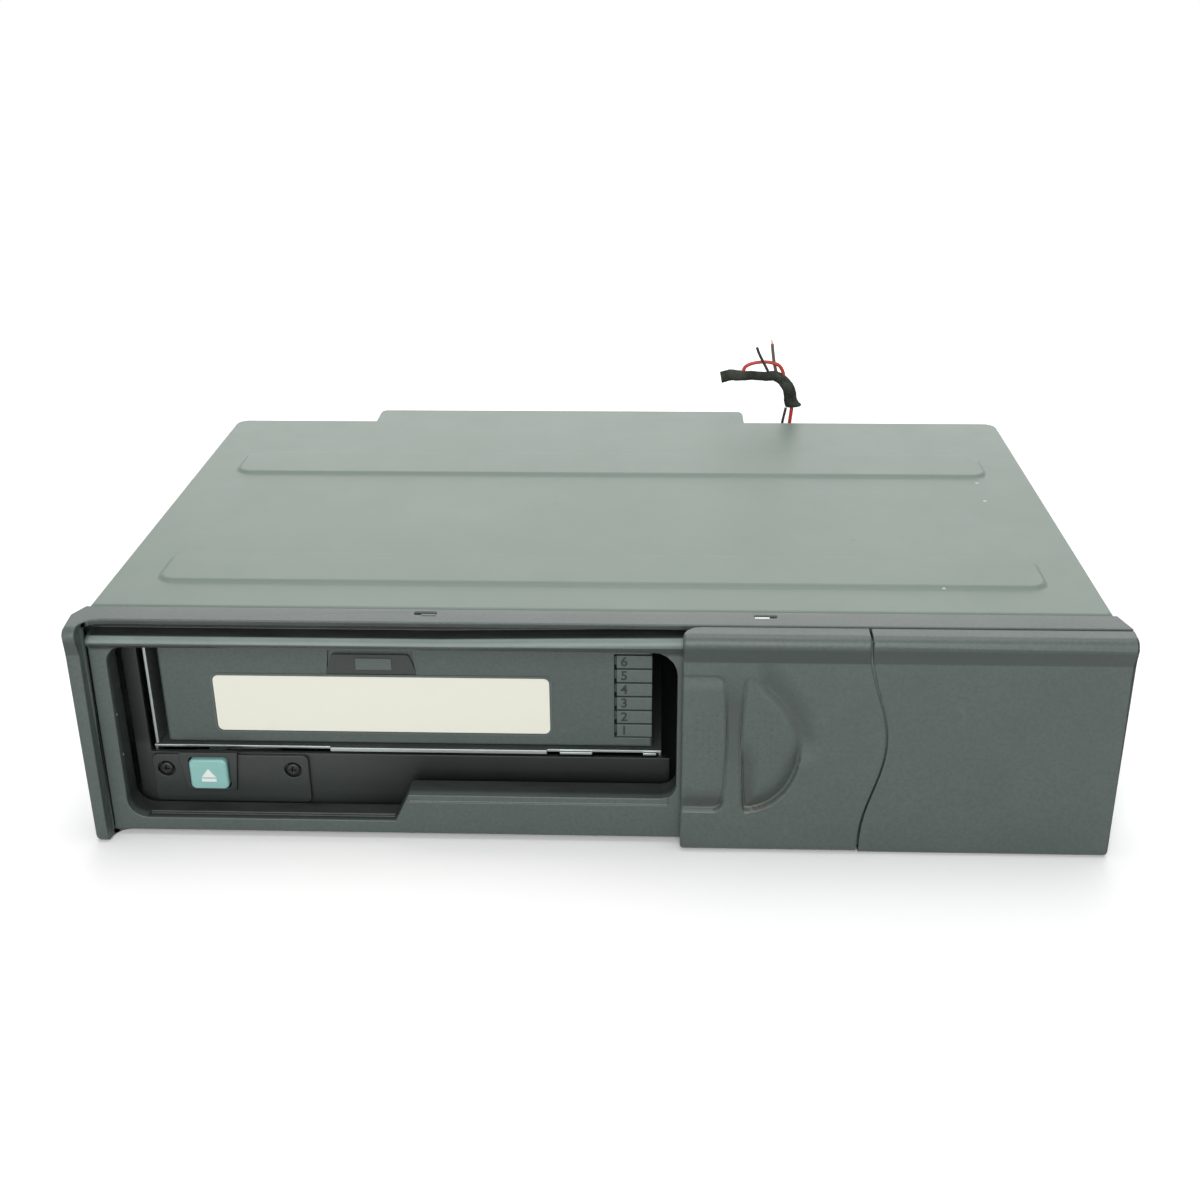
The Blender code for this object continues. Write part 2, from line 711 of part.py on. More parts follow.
def carry(parent, *children):
    """Parents pieces to the piece that carries them, each staying where it is."""
    for child in children:
        child.parent = parent
        child.matrix_parent_inverse = Matrix.Translation(-parent.location)


def nose_outline(front, rear, bottom, top, crease_depth):
    """The section that the end wall, the door and the fixed cover share, as (y, z)."""
    points = [(rear, bottom)]
    points += arc((front + TOE_RADIUS, bottom + TOE_RADIUS), TOE_RADIUS, 270, 180)
    points += [(front, LOW_CREASE), (front + crease_depth, CREASE_Z)]
    points += arc((front + NOSE_RADIUS, top - NOSE_RADIUS), NOSE_RADIUS, 180, 90)
    points.append((rear, top))
    return points


def bow_x(z):
    """How far the bowed joint between the door and the fixed cover stands to the right at a height."""
    share = (z - BOW_CENTRE) / BOW_HALF_HEIGHT
    if abs(share) >= 1:
        return 0.0
    return BOW_DEPTH * math.cos(share * math.pi / 2) ** 2


def bow_region(left, offset):
    """The outline in X and Z of all that lies left of the bowed joint, moved by an offset."""
    low = -OVERRUN
    high = COVER_TOP + OVERRUN
    points = [(left, low)]
    for index in range(BOW_STEPS + 1):
        z = low + (high - low) * index / BOW_STEPS
        points.append((GRIP_RIGHT + offset + bow_x(z), z))
    points.append((left, high))
    return points


def emboss(name, y_low, rise_from, rise_to, shrink):
    """One raised panel of the cover: a low block with sloping sides."""
    half = EMBOSS_LENGTH / 2 - shrink
    bm = bmesh.new()
    rings = []
    for z, inset in ((rise_from, 0), (rise_to, EMBOSS_SLOPE)):
        span_x = (-half + inset, half - inset)
        span_y = (y_low + shrink + inset, y_low + EMBOSS_WIDTH - shrink - inset)
        outline = rounded_rectangle(span_x, span_y, [EMBOSS_CORNER] * 4, 3)
        rings.append([bm.verts.new((x, y, z)) for x, y in outline])
    count = len(rings[0])
    for index in range(count):
        after = (index + 1) % count
        bm.faces.new((rings[0][index], rings[0][after], rings[1][after], rings[1][index]))
    bm.faces.new(rings[0])
    bm.faces.new(rings[1])
    return add_object(name, bm)


def make_top_cover(look):
    """Pressed steel cover with turned-down flanges and two long raised panels."""
    y_span = (COVER_FRONT + GAP, COVER_REAR)
    radii = [0, 0, COVER_CORNER, COVER_CORNER]
    outer = rounded_rectangle((-HALF_CHASSIS, HALF_CHASSIS), y_span, radii)
    cover = prism("top_cover", outer, "Z", COVER_TOP - COVER_FLANGE, COVER_TOP)
    round_edges(cover, lambda p: near(p.z, COVER_TOP) and p.y > COVER_FRONT + COVER_CORNER
                or near(p.z, COVER_TOP) and near(abs(p.x), HALF_CHASSIS), COVER_EDGE)
    inner_half = HALF_CHASSIS - SHEET
    inner_radius = COVER_CORNER - SHEET
    inner = rounded_rectangle(
        (-inner_half, inner_half), (COVER_FRONT - OVERRUN, COVER_REAR - SHEET),
        [0, 0, inner_radius, inner_radius],
    )
    cut(cover, prism("hollow", inner, "Z", COVER_TOP - COVER_FLANGE - OVERRUN, COVER_TOP - SHEET))
    for index in range(2):
        y_low = COVER_FRONT + EMBOSS_INSET + EMBOSS_PITCH * index
        unite(cover, emboss("panel", y_low, COVER_TOP - SHEET / 2, COVER_TOP + EMBOSS_RISE, 0))
    for index in range(2):
        y_low = COVER_FRONT + EMBOSS_INSET + EMBOSS_PITCH * index
        low = COVER_TOP - SHEET - EMBOSS_RISE / 2
        cut(cover, emboss("panel_inside", y_low, low, COVER_TOP + EMBOSS_RISE - SHEET, SHEET))
    return finish(cover, look)


def make_chassis(look):
    """Steel pan with a floor, two sides and a rear wall, on four pressed feet."""
    radii = [0, 0, PAN_CORNER, PAN_CORNER]
    outer = rounded_rectangle((-PAN_HALF, PAN_HALF), (PAN_FRONT, PAN_REAR), radii, 3)
    pan = prism("chassis_pan", outer, "Z", PAN_RISE, PAN_TOP)
    inner_half = PAN_HALF - SHEET
    inner_radius = PAN_CORNER - SHEET
    inner = rounded_rectangle(
        (-inner_half, inner_half), (PAN_FRONT - OVERRUN, PAN_REAR - SHEET),
        [0, 0, inner_radius, inner_radius], 3,
    )
    cut(pan, prism("hollow", inner, "Z", PAN_FLOOR, PAN_TOP + OVERRUN))
    for side in (-1, 1):
        for end in (PAN_FRONT + FOOT_END_INSET, PAN_REAR - FOOT_END_INSET):
            centre = (side * (PAN_HALF - FOOT_SIDE_INSET), end)
            unite(pan, cylinder("foot", "Z", centre, FOOT_RADIUS, 0, PAN_RISE + SHEET / 2, SMALL_ROUND_STEPS))
    for x in (BOARD_LEFT + BOARD_POST_INSET, BOARD_LEFT + BOARD_WIDTH - BOARD_POST_INSET):
        for y in (BOARD_FRONT + BOARD_POST_INSET, BOARD_FRONT + BOARD_LENGTH - BOARD_POST_INSET):
            top = BOARD_BOTTOM - GAP
            unite(pan, cylinder("board_post", "Z", (x, y), BOARD_POST_RADIUS, PAN_FLOOR - SHEET / 2, top, 10))
    rear = (PAN_REAR - SHEET - OVERRUN / 2, PAN_REAR + OVERRUN)
    window = box(
        "rear_window",
        (CAP_LEFT + REAR_WINDOW_MARGIN, CAP_LEFT + CAP_WIDTH - REAR_WINDOW_MARGIN), rear,
        (CAP_BOTTOM + REAR_WINDOW_MARGIN, COVER_TOP - CAP_DROP - REAR_WINDOW_MARGIN - CAP_WALL),
    )
    entry = cylinder("entry_hole", "Y", (ENTRY_X, ENTRY_Z), ENTRY_RADIUS + GAP, *rear, SMALL_ROUND_STEPS)
    cut(pan, window, entry)
    for index in range(VENT_COUNT):
        z = VENT_LOW + VENT_PITCH * index
        cut(pan, box("vent", (VENT_X, VENT_X + VENT_LENGTH), rear, (z, z + VENT_WIDTH)))
    for y in (PAN_FRONT + BRACKET_HOLE_INSET, PAN_FRONT + BRACKET_HOLE_INSET + BRACKET_HOLE_PITCH):
        for z in (BRACKET_HOLE_LOW, BRACKET_HOLE_LOW + BRACKET_HOLE_RISE):
            cut(pan, cylinder("bracket_hole", "X", (y, z), BRACKET_HOLE_RADIUS,
                              -PAN_HALF - OVERRUN, PAN_HALF + OVERRUN, 12))
    return finish(pan, look)


def make_rear_cap(look):
    """Shallow steel box that stands out behind the chassis, open towards it."""
    top = COVER_TOP - CAP_DROP
    right = CAP_LEFT + CAP_WIDTH
    front = PAN_REAR + GAP
    radii = [0, 0, CAP_CORNER, CAP_CORNER]
    outline = rounded_rectangle((CAP_LEFT, right), (front, REAR), radii, 3)
    cap = prism("rear_cap", outline, "Z", CAP_BOTTOM, top)
    round_edges(cap, lambda p: near(p.z, top) and p.y > COVER_REAR, CAP_WALL / 2)
    hollow = box(
        "hollow", (CAP_LEFT + CAP_WALL, right - CAP_WALL), (front - OVERRUN, REAR - CAP_WALL),
        (CAP_BOTTOM + CAP_WALL, top - CAP_WALL),
    )
    flange_room = box(
        "flange_room", (CAP_LEFT - OVERRUN, right + OVERRUN), (front - OVERRUN, COVER_REAR + GAP),
        (COVER_TOP - COVER_FLANGE - GAP, top + OVERRUN),
    )
    cut(cap, hollow, flange_room)
    return finish(cap, look)


def frame_outline():
    """The section of the frame round the window, as (y, z)."""
    points = [(WEB_BACK, FRAME_BOTTOM)]
    points += arc((FRAME_FACE + FRAME_TOE, FRAME_BOTTOM + FRAME_TOE), FRAME_TOE, 270, 180, 2)
    points.append((FRAME_FACE + FRAME_CREASE, CREASE_Z))
    points += arc((FRAME_FACE + RAIL_NOSE, RAIL_TOP - RAIL_NOSE), RAIL_NOSE, 180, 90)
    points.append((WEB_BACK, RAIL_TOP))
    return points


def window_outline():
    """The window's outline in X and Z, with the raised lip on its right half."""
    points = arc((WINDOW_LEFT + WINDOW_RADIUS_LOW_LEFT, WINDOW_BOTTOM + WINDOW_RADIUS_LOW_LEFT),
                 WINDOW_RADIUS_LOW_LEFT, 180, 270)
    points += [(LIP_STEP_X, WINDOW_BOTTOM), (LIP_STEP_X + LIP_STEP_RUN, LIP_TOP)]
    points += arc((WINDOW_RIGHT - WINDOW_RADIUS_LOW_RIGHT, LIP_TOP + WINDOW_RADIUS_LOW_RIGHT),
                  WINDOW_RADIUS_LOW_RIGHT, 270, 360)
    points += arc((WINDOW_RIGHT - WINDOW_RADIUS_TOP_RIGHT, WINDOW_TOP - WINDOW_RADIUS_TOP_RIGHT),
                  WINDOW_RADIUS_TOP_RIGHT, 0, 90)
    points += arc((WINDOW_LEFT + WINDOW_RADIUS_TOP_LEFT, WINDOW_TOP - WINDOW_RADIUS_TOP_LEFT),
                  WINDOW_RADIUS_TOP_LEFT, 90, 180)
    return points


def make_bezel(look):
    """Moulded front bezel: collar, left end wall, window frame and the track for the door."""
    section = nose_outline(FRONT, COVER_FRONT, 0, COVER_TOP, CREASE_DEPTH)
    bezel = prism("front_bezel", section, "X", -HALF_FASCIA, HALF_FASCIA)
    half_collar = COLLAR_FRONT + COLLAR_LENGTH / 2
    round_edges(bezel, lambda p: near(p.x, -HALF_FASCIA) and p.y < half_collar, END_WALL_EDGE)
    pocket = rounded_rectangle(
        (POCKET_LEFT, HALF_FASCIA + OVERRUN), (FRONT - OVERRUN, COLLAR_FRONT), [0, 0, 0, POCKET_CORNER]
    )
    cut(bezel, prism("pocket", pocket, "Z", -OVERRUN, COVER_TOP + OVERRUN))
    inside = HALF_FASCIA - RING_SIDE_WALL
    hollow = box(
        "hollow", (-inside, inside), (COLLAR_FRONT - OVERRUN / 2, COVER_FRONT + OVERRUN),
        (RING_FLOOR, COVER_TOP - COLLAR_WALL),
    )
    keep_wall = box(
        "keep_wall", (-HALF_FASCIA - OVERRUN, POCKET_LEFT), (FRONT - OVERRUN, COLLAR_FRONT - GAP / 3),
        (-OVERRUN, COVER_TOP + OVERRUN),
    )
    cut(hollow, keep_wall)
    cut(bezel, hollow)
    frame_left = POCKET_LEFT + FRAME_SIDE_GROOVE
    frame = prism("frame", frame_outline(), "X", frame_left, inside - GAP)
    slot_back = FRAME_FACE + SLOT_DEPTH
    web = box(
        "web", (-inside - WEB_OVERLAP, inside + WEB_OVERLAP), (slot_back, WEB_BACK),
        (RING_FLOOR - WEB_OVERLAP, COVER_TOP - COLLAR_WALL + WEB_OVERLAP),
    )
    unite(frame, web)
    unite(bezel, frame)
    cut(bezel, prism("window", window_outline(), "Y", FRONT - OVERRUN, COVER_FRONT + OVERRUN))
    bay = box(
        "bay", (WINDOW_RIGHT + BAY_MARGIN, inside - BAY_WALL), (FRAME_FACE + BAY_WALL, WEB_BACK + OVERRUN),
        (FRAME_BOTTOM + BAY_WALL, RAIL_TOP - BAY_WALL),
    )
    band = box(
        "band", (LIP_STEP_X + LIP_STEP_RUN, WINDOW_RIGHT - WINDOW_RADIUS_LOW_RIGHT / 2),
        (FRAME_FACE - OVERRUN, FRAME_FACE + LIP_BAND_DEPTH), (LIP_TOP - LIP_BAND, LIP_TOP + OVERRUN),
    )
    groove_front = FRAME_FACE + LEDGE_GROOVE_SETBACK
    groove = box(
        "ledge_groove", (WINDOW_LEFT + LEDGE_GROOVE_INSET, LIP_STEP_X - GAP),
        (groove_front, groove_front + LEDGE_GROOVE_WIDTH), (WINDOW_BOTTOM - LEDGE_GROOVE_DEPTH, LIP_TOP),
    )
    cut(bezel, bay, band, groove)
    for side in (-1, 1):
        middle = side * SNAP_HALF_PITCH
        y = COLLAR_FRONT + SNAP_SETBACK
        cut(bezel, box("snap", (middle - SNAP_WIDTH / 2, middle + SNAP_WIDTH / 2), (y, y + SNAP_LENGTH),
                       (COVER_TOP - SNAP_DEPTH, COVER_TOP + OVERRUN)))
    return finish(bezel, look)


def left_scoop():
    """The cut for the finger recess between the door's left edge and its grip bar."""
    right = GRIP_LEFT + LEFT_SCOOP_WIDTH
    wedge = [
        (GRIP_LEFT - OVERRUN, FRONT - OVERRUN), (right + OVERRUN, FRONT - OVERRUN),
        (right + OVERRUN, FRONT + SCOOP_DEPTH), (right, FRONT + SCOOP_DEPTH),
        (GRIP_LEFT, FRONT + SCOOP_SHALLOW), (GRIP_LEFT - OVERRUN, FRONT + SCOOP_SHALLOW),
    ]
    tool = prism("left_scoop", wedge, "Z", SCOOP_LOW, SCOOP_LOW + SCOOP_HEIGHT)
    high = SCOOP_LOW + SCOOP_HEIGHT
    outline = [(GRIP_LEFT - OVERRUN, high), (GRIP_LEFT - OVERRUN, SCOOP_LOW)]
    outline += arc((right - SCOOP_CORNER, SCOOP_LOW + SCOOP_CORNER), SCOOP_CORNER, 270, 345)
    outline.append((right + LEFT_SCOOP_BOW, (SCOOP_LOW + high) / 2))
    outline += arc((right - SCOOP_CORNER, high - SCOOP_CORNER), SCOOP_CORNER, 15, 90)
    return meet(tool, prism("outline", outline, "Y", FRONT - OVERRUN, FRONT + OVERRUN))


def right_scoop():
    """The cut for the half-moon recess right of the grip bar, deepest at the bar."""
    left = GRIP_LEFT + LEFT_SCOOP_WIDTH + LEFT_SCOOP_BOW + GRIP_BAR
    radius = (RIGHT_SCOOP_WIDTH ** 2 + SCOOP_DEPTH ** 2) / (2 * SCOOP_DEPTH)
    dish = [(left, FRONT - OVERRUN)]
    for index in range(BOW_STEPS // 2 + 1):
        run = RIGHT_SCOOP_WIDTH * index / (BOW_STEPS // 2)
        depth = math.sqrt(radius ** 2 - run ** 2) - (radius - SCOOP_DEPTH)
        dish.append((left + run, FRONT + max(depth, 0)))
    dish.append((left + RIGHT_SCOOP_WIDTH + OVERRUN, FRONT))
    dish.append((left + RIGHT_SCOOP_WIDTH + OVERRUN, FRONT - OVERRUN))
    tool = prism("right_scoop", dish, "Z", SCOOP_LOW - OVERRUN, SCOOP_LOW + SCOOP_HEIGHT + OVERRUN)
    half = SCOOP_HEIGHT / 2
    moon = []
    for x, z in arc((0, 0), 1, -90, 90, BOW_STEPS // 2):
        moon.append((left + RIGHT_SCOOP_WIDTH * x, SCOOP_LOW + half + half * z))
    return meet(tool, prism("moon", moon, "Y", FRONT - OVERRUN, FRONT + OVERRUN))


def make_grip_leaf(look):
    """The door's outer leaf: the grip panel that shows, with a thin apron behind the fixed cover."""
    section = nose_outline(FRONT, WRAP_REAR, GAP, GRIP_TOP, CREASE_DEPTH)
    leaf = prism("door_grip_leaf", section, "X", GRIP_LEFT, GRIP_RIGHT + BOW_DEPTH + OVERRUN)
    plan = rounded_rectangle(
        (GRIP_LEFT, GRIP_RIGHT + BOW_DEPTH + 2 * OVERRUN), (FRONT - OVERRUN, WRAP_REAR), [0, 0, 0, GRIP_CORNER]
    )
    meet(leaf, prism("plan", plan, "Z", -OVERRUN, COVER_TOP + OVERRUN))
    meet(leaf, prism("bow", bow_region(GRIP_LEFT - OVERRUN, 0), "Y", FRONT - OVERRUN, COVER_FRONT))
    round_edges(leaf, lambda p: near(p.x, GRIP_LEFT) and p.y < FRONT + NOSE_RADIUS + GAP, GRIP_FRONT_CORNER)
    inside = box(
        "inside", (GRIP_LEFT - OVERRUN, GRIP_RIGHT + BOW_DEPTH + OVERRUN),
        (GRIP_INNER_FACE, COLLAR_FRONT + OVERRUN),
        (GAP + GRIP_LIP, GRIP_INNER_TOP),
    )
    cut(leaf, inside, left_scoop(), right_scoop())
    apron_front = GRIP_INNER_FACE - APRON_THICKNESS
    apron = box(
        "apron", (GRIP_RIGHT - OVERRUN, APRON_RIGHT), (apron_front, GRIP_INNER_FACE), (SHUTTER_BOTTOM, SHUTTER_TOP)
    )
    tongue_top = COVER_TOP - COLLAR_WALL - GAP
    hook_span = (GRIP_LEFT + HOOK_INSET, GRIP_RIGHT - HOOK_INSET)
    riser_heights = (tongue_top - HOOK_TONGUE, GRIP_TOP - GAP)
    riser = box("riser", hook_span, (WRAP_REAR - HOOK_RISER, WRAP_REAR), riser_heights)
    tongue = box(
        "tongue", hook_span, (WRAP_REAR - HOOK_RISER, WRAP_REAR - HOOK_RISER + HOOK_LENGTH),
        (tongue_top - HOOK_TONGUE, tongue_top),
    )
    unite(leaf, apron, unite(riser, tongue))
    finish(leaf, look)
    return move_origin(leaf, (GRIP_LEFT, FRONT, 0))


def make_inner_leaf(look):
    """The door's thin second leaf, which follows the grip leaf and closes the rest of the window."""
    rear = FRAME_FACE - GAP - GAP / 3
    front = rear - LEAF_THICKNESS
    leaf = box("door_inner_leaf", (LEAF_LEFT, LEAF_RIGHT), (front, rear), (SHUTTER_BOTTOM, SHUTTER_TOP))
    flange = box(
        "flange", (LEAF_LEFT, LEAF_RIGHT), (front, front + LEAF_FLANGE_DEPTH),
        (SHUTTER_TOP - LEAF_FLANGE, SHUTTER_TOP),
    )
    unite(leaf, flange)
    finish(leaf, look)
    return move_origin(leaf, (LEAF_LEFT, front, 0))


def make_right_cover(look):
    """The fixed moulded cover at the right of the fascia, hollow behind."""
    left = GRIP_RIGHT - OVERRUN
    outline = nose_outline(FRONT, WRAP_REAR, 0, GRIP_TOP, CREASE_DEPTH)
    cover = prism("right_front_cover", outline, "X", left, HALF_FASCIA)
    round_edges(cover, lambda p: near(p.x, HALF_FASCIA) and p.y < WRAP_REAR - GAP, COVER_B_EDGE, 3)
    hollow = box(
        "hollow", (left - OVERRUN, HALF_FASCIA - COVER_B_WALL),
        (FRONT + COVER_B_WALL, COLLAR_FRONT + OVERRUN),
        (GAP + GRIP_LIP, GRIP_INNER_TOP),
    )
    bow = prism("bow", bow_region(left - OVERRUN - OVERRUN, BOW_SLIT), "Y", FRONT - OVERRUN, COVER_FRONT)
    cut(cover, hollow, bow)
    return finish(cover, look)


def make_sill(look):
    """Plastic panel under the magazine with a column at its left."""
    rear = SILL_FACE + SILL_THICKNESS
    sill = box("bay_sill", (SILL_LEFT, SILL_LEFT + SILL_WIDTH), (SILL_FACE, rear), (SILL_BOTTOM, SILL_TOP))
    heights = (SILL_BOTTOM, SILL_COLUMN_TOP)
    column = box("column", (SILL_LEFT, SILL_LEFT + SILL_COLUMN), (SILL_FACE, rear), heights)
    unite(sill, column)
    spans = (SILL_FACE - OVERRUN, rear + OVERRUN)
    cut(sill, button_hole("button_hole", *spans))
    for x in (LEFT_SCREW_X, RIGHT_SCREW_X):
        bore = SCREW_SHANK_RADIUS + SCREW_BORE_GAP
        cut(sill, cylinder("screw_bore", "Y", (x, SCREW_Z), bore, *spans, 12))
    return finish(sill, look)


def button_hole(name, start, end):
    """The hole that the eject button slides in."""
    half_width = BUTTON_WIDTH / 2 + GAP
    half_height = BUTTON_HEIGHT / 2 + GAP
    outline = rounded_rectangle(
        (BUTTON_X - half_width, BUTTON_X + half_width), (BUTTON_Z - half_height, BUTTON_Z + half_height),
        [BUTTON_CORNER] * 4, 3,
    )
    return prism(name, outline, "Y", start, end)


def make_eject_cover(look):
    """Screwed-on plate with the raised surround of the eject button."""
    top = EJECT_COVER_BOTTOM + EJECT_COVER_HEIGHT
    rear = EJECT_FACE + EJECT_COVER_THICKNESS
    outline = rounded_rectangle(
        (EJECT_COVER_LEFT, EJECT_COVER_RIGHT), (EJECT_COVER_BOTTOM, top), [EJECT_COVER_CORNER] * 4, 3
    )
    plate = prism("eject_cover", outline, "Y", EJECT_FACE, rear)
    surround = [
        (BUTTON_X - SURROUND_BOTTOM_WIDTH / 2, BUTTON_Z - SURROUND_BOTTOM),
        (BUTTON_X + SURROUND_BOTTOM_WIDTH / 2, BUTTON_Z - SURROUND_BOTTOM),
        (BUTTON_X + SURROUND_TOP_WIDTH / 2, BUTTON_Z + SURROUND_TOP),
        (BUTTON_X - SURROUND_TOP_WIDTH / 2, BUTTON_Z + SURROUND_TOP),
    ]
    unite(plate, prism("surround", surround, "Y", EJECT_FACE - SURROUND_PROUD, rear - GAP))
    cut(plate, button_hole("button_hole", EJECT_FACE - OVERRUN, rear + OVERRUN))
    for x in (LEFT_SCREW_X, RIGHT_SCREW_X):
        cut(plate, cylinder("screw_recess", "Y", (x, SCREW_Z), SCREW_RECESS_RADIUS,
                            EJECT_FACE - OVERRUN, rear + OVERRUN, SMALL_ROUND_STEPS))
    return finish(plate, look)


def make_button(look):
    """The eject button with the stem that works the latch."""
    front = EJECT_FACE - BUTTON_PROUD
    outline = rounded_rectangle(
        (BUTTON_X - BUTTON_WIDTH / 2, BUTTON_X + BUTTON_WIDTH / 2),
        (BUTTON_Z - BUTTON_HEIGHT / 2, BUTTON_Z + BUTTON_HEIGHT / 2), [BUTTON_CORNER] * 4, 3,
    )
    button = prism("eject_button", outline, "Y", front, front + BUTTON_BODY)
    round_edges(button, lambda p: near(p.y, front), BUTTON_EDGE)
    stem = box(
        "stem", (BUTTON_X - STEM_WIDTH / 2, BUTTON_X + STEM_WIDTH / 2),
        (front + BUTTON_BODY - GAP, front + BUTTON_BODY + STEM_LENGTH),
        (BUTTON_Z - STEM_HEIGHT / 2, BUTTON_Z + STEM_HEIGHT / 2),
    )
    unite(button, stem)
    finish(button, look)
    return move_origin(button, (BUTTON_X, front, BUTTON_Z))


def make_screw(name, x, look):
    """A cross-head screw that holds the eject cover."""
    head_rear = SILL_FACE - GAP
    head_front = head_rear - SCREW_HEAD_HEIGHT
    screw = cylinder(name, "Y", (x, SCREW_Z), SCREW_HEAD_RADIUS, head_front, head_rear, SMALL_ROUND_STEPS)
    shank = cylinder("shank", "Y", (x, SCREW_Z), SCREW_SHANK_RADIUS, head_rear - GAP,
                     head_rear + SCREW_SHANK_LENGTH, 10)
    unite(screw, shank)
    across = (head_front - OVERRUN, head_front + CROSS_DEPTH)
    for half_x, half_z in ((CROSS_LENGTH / 2, CROSS_WIDTH / 2), (CROSS_WIDTH / 2, CROSS_LENGTH / 2)):
        cut(screw, box("cross", (x - half_x, x + half_x), across, (SCREW_Z - half_z, SCREW_Z + half_z)))
    return finish(screw, look)


def tray_bottom(index):
    """The underside of a tray, counted from the lowest."""
    return MAGAZINE_BOTTOM + FIRST_TRAY_RISE + TRAY_PITCH * index


def shelf_outline():
    """The magazine's hollow in Y and Z, with a shelf under and over each tray at both ends."""
    front = MAGAZINE_FRONT + MAGAZINE_WALL
    rear = MAGAZINE_REAR - MAGAZINE_WALL
    bottom = MAGAZINE_BOTTOM + MAGAZINE_WALL
    top = MAGAZINE_TOP - MAGAZINE_WALL
    shelves = []
    for index in range(TRAY_COUNT + 1):
        high = tray_bottom(index) - GAP
        shelves.append((high - SHELF_THICKNESS, high))
    points = [(front, bottom), (rear, bottom)]
    for low, high in shelves:
        points += [(rear, low), (rear - SHELF_DEPTH, low), (rear - SHELF_DEPTH, high), (rear, high)]
    points += [(rear, top), (front, top)]
    for low, high in reversed(shelves):
        points += [(front, high), (front + SHELF_DEPTH, high), (front + SHELF_DEPTH, low), (front, low)]
    return points


def make_magazine(look):
    """The magazine's shell: open at its right side, where the trays come out."""
    shell = box(
        "magazine_shell", (MAGAZINE_LEFT, MAGAZINE_RIGHT), (MAGAZINE_FRONT, MAGAZINE_REAR),
        (MAGAZINE_BOTTOM, MAGAZINE_TOP),
    )
    round_edges(shell, lambda p: near(p.y, MAGAZINE_FRONT) or near(p.x, MAGAZINE_LEFT), MAGAZINE_EDGE)
    left = MAGAZINE_LEFT + MAGAZINE_WALL
    cut(shell, prism("hollow", shelf_outline(), "X", left, MAGAZINE_RIGHT + OVERRUN))
    inner = (MAGAZINE_BOTTOM + MAGAZINE_WALL, MAGAZINE_TOP - MAGAZINE_WALL)
    tab_room = box(
        "tab_room", (TAB_LEFT - TAB_OPENING, MAGAZINE_RIGHT + OVERRUN),
        (MAGAZINE_FRONT - OVERRUN, MAGAZINE_FRONT + MAGAZINE_WALL + SHELF_DEPTH + GAP / 3),
        (tray_bottom(0) - GAP, tray_bottom(TRAY_COUNT)),
    )
    corner = box(
        "drive_corner", (MAGAZINE_RIGHT - CORNER_CUT, MAGAZINE_RIGHT + OVERRUN),
        (MAGAZINE_REAR - CORNER_CUT_DEPTH, MAGAZINE_REAR + OVERRUN), (MAGAZINE_BOTTOM - OVERRUN, inner[1]),
    )
    groove = box(
        "latch_groove", (LATCH_GROOVE_LEFT, LATCH_GROOVE_LEFT + LATCH_GROOVE_WIDTH),
        (MAGAZINE_FRONT + LATCH_GROOVE_START, MAGAZINE_REAR + OVERRUN),
        (MAGAZINE_BOTTOM - OVERRUN, MAGAZINE_BOTTOM + LATCH_GROOVE_DEPTH),
    )
    low_half = FRONT_NOTCH_WIDTH / 2
    high_half = low_half - FRONT_NOTCH_TAPER
    trapezoid = [
        (FRONT_NOTCH_X - low_half, FRONT_NOTCH_LOW), (FRONT_NOTCH_X + low_half, FRONT_NOTCH_LOW),
        (FRONT_NOTCH_X + high_half, MAGAZINE_TOP + OVERRUN),
        (FRONT_NOTCH_X - high_half, MAGAZINE_TOP + OVERRUN),
    ]
    notch = prism("front_notch", trapezoid, "Y", MAGAZINE_FRONT - OVERRUN, MAGAZINE_FRONT + FRONT_NOTCH_DEPTH)
    cut(shell, tab_room, corner, groove, notch)
    finish(shell, look)
    return move_origin(shell, (MAGAZINE_LEFT, MAGAZINE_FRONT, MAGAZINE_BOTTOM))


def make_tray(index, look):
    """One disc tray: a round recess, a slot for the drive and a numbered tab at the front."""
    low = tray_bottom(index)
    corners = [TRAY_CORNER, 0, 0, TRAY_CORNER]
    outline = rounded_rectangle((TRAY_LEFT, TRAY_RIGHT), (TRAY_FRONT, TRAY_REAR), corners, 3)
    tray = prism(f"disc_tray_{index + 1}", outline, "Z", low, low + TRAY_THICKNESS)
    high = low + TRAY_THICKNESS + OVERRUN
    recess = cylinder("recess", "Z", (DISC_X, DISC_Y), DISC_RADIUS + DISC_PLAY, low + TRAY_FLOOR, high, 40)
    slot_end = TRAY_RIGHT + OVERRUN
    slot = [(slot_end, DISC_Y - TRAY_SLOT_RADIUS), (slot_end, DISC_Y + TRAY_SLOT_RADIUS)]
    slot += arc((DISC_X, DISC_Y), TRAY_SLOT_RADIUS, 90, 270, 10)
    notch_right = TRAY_RIGHT - NOTCH_EAR
    notch = box(
        "notch", (notch_right - NOTCH_WIDTH, notch_right), (TRAY_REAR - NOTCH_DEPTH, TRAY_REAR + OVERRUN),
        (low - OVERRUN, high),
    )
    cut(tray, recess, prism("slot", slot, "Z", low - OVERRUN, high), notch)
    tab = box(
        "tab", (TAB_LEFT, TRAY_RIGHT), (MAGAZINE_FRONT, TRAY_FRONT + TAB_OVERLAP), (low, low + TAB_THICKNESS)
    )
    unite(tray, tab)
    finish(tray, look)
    return move_origin(tray, (DISC_X, DISC_Y, low))


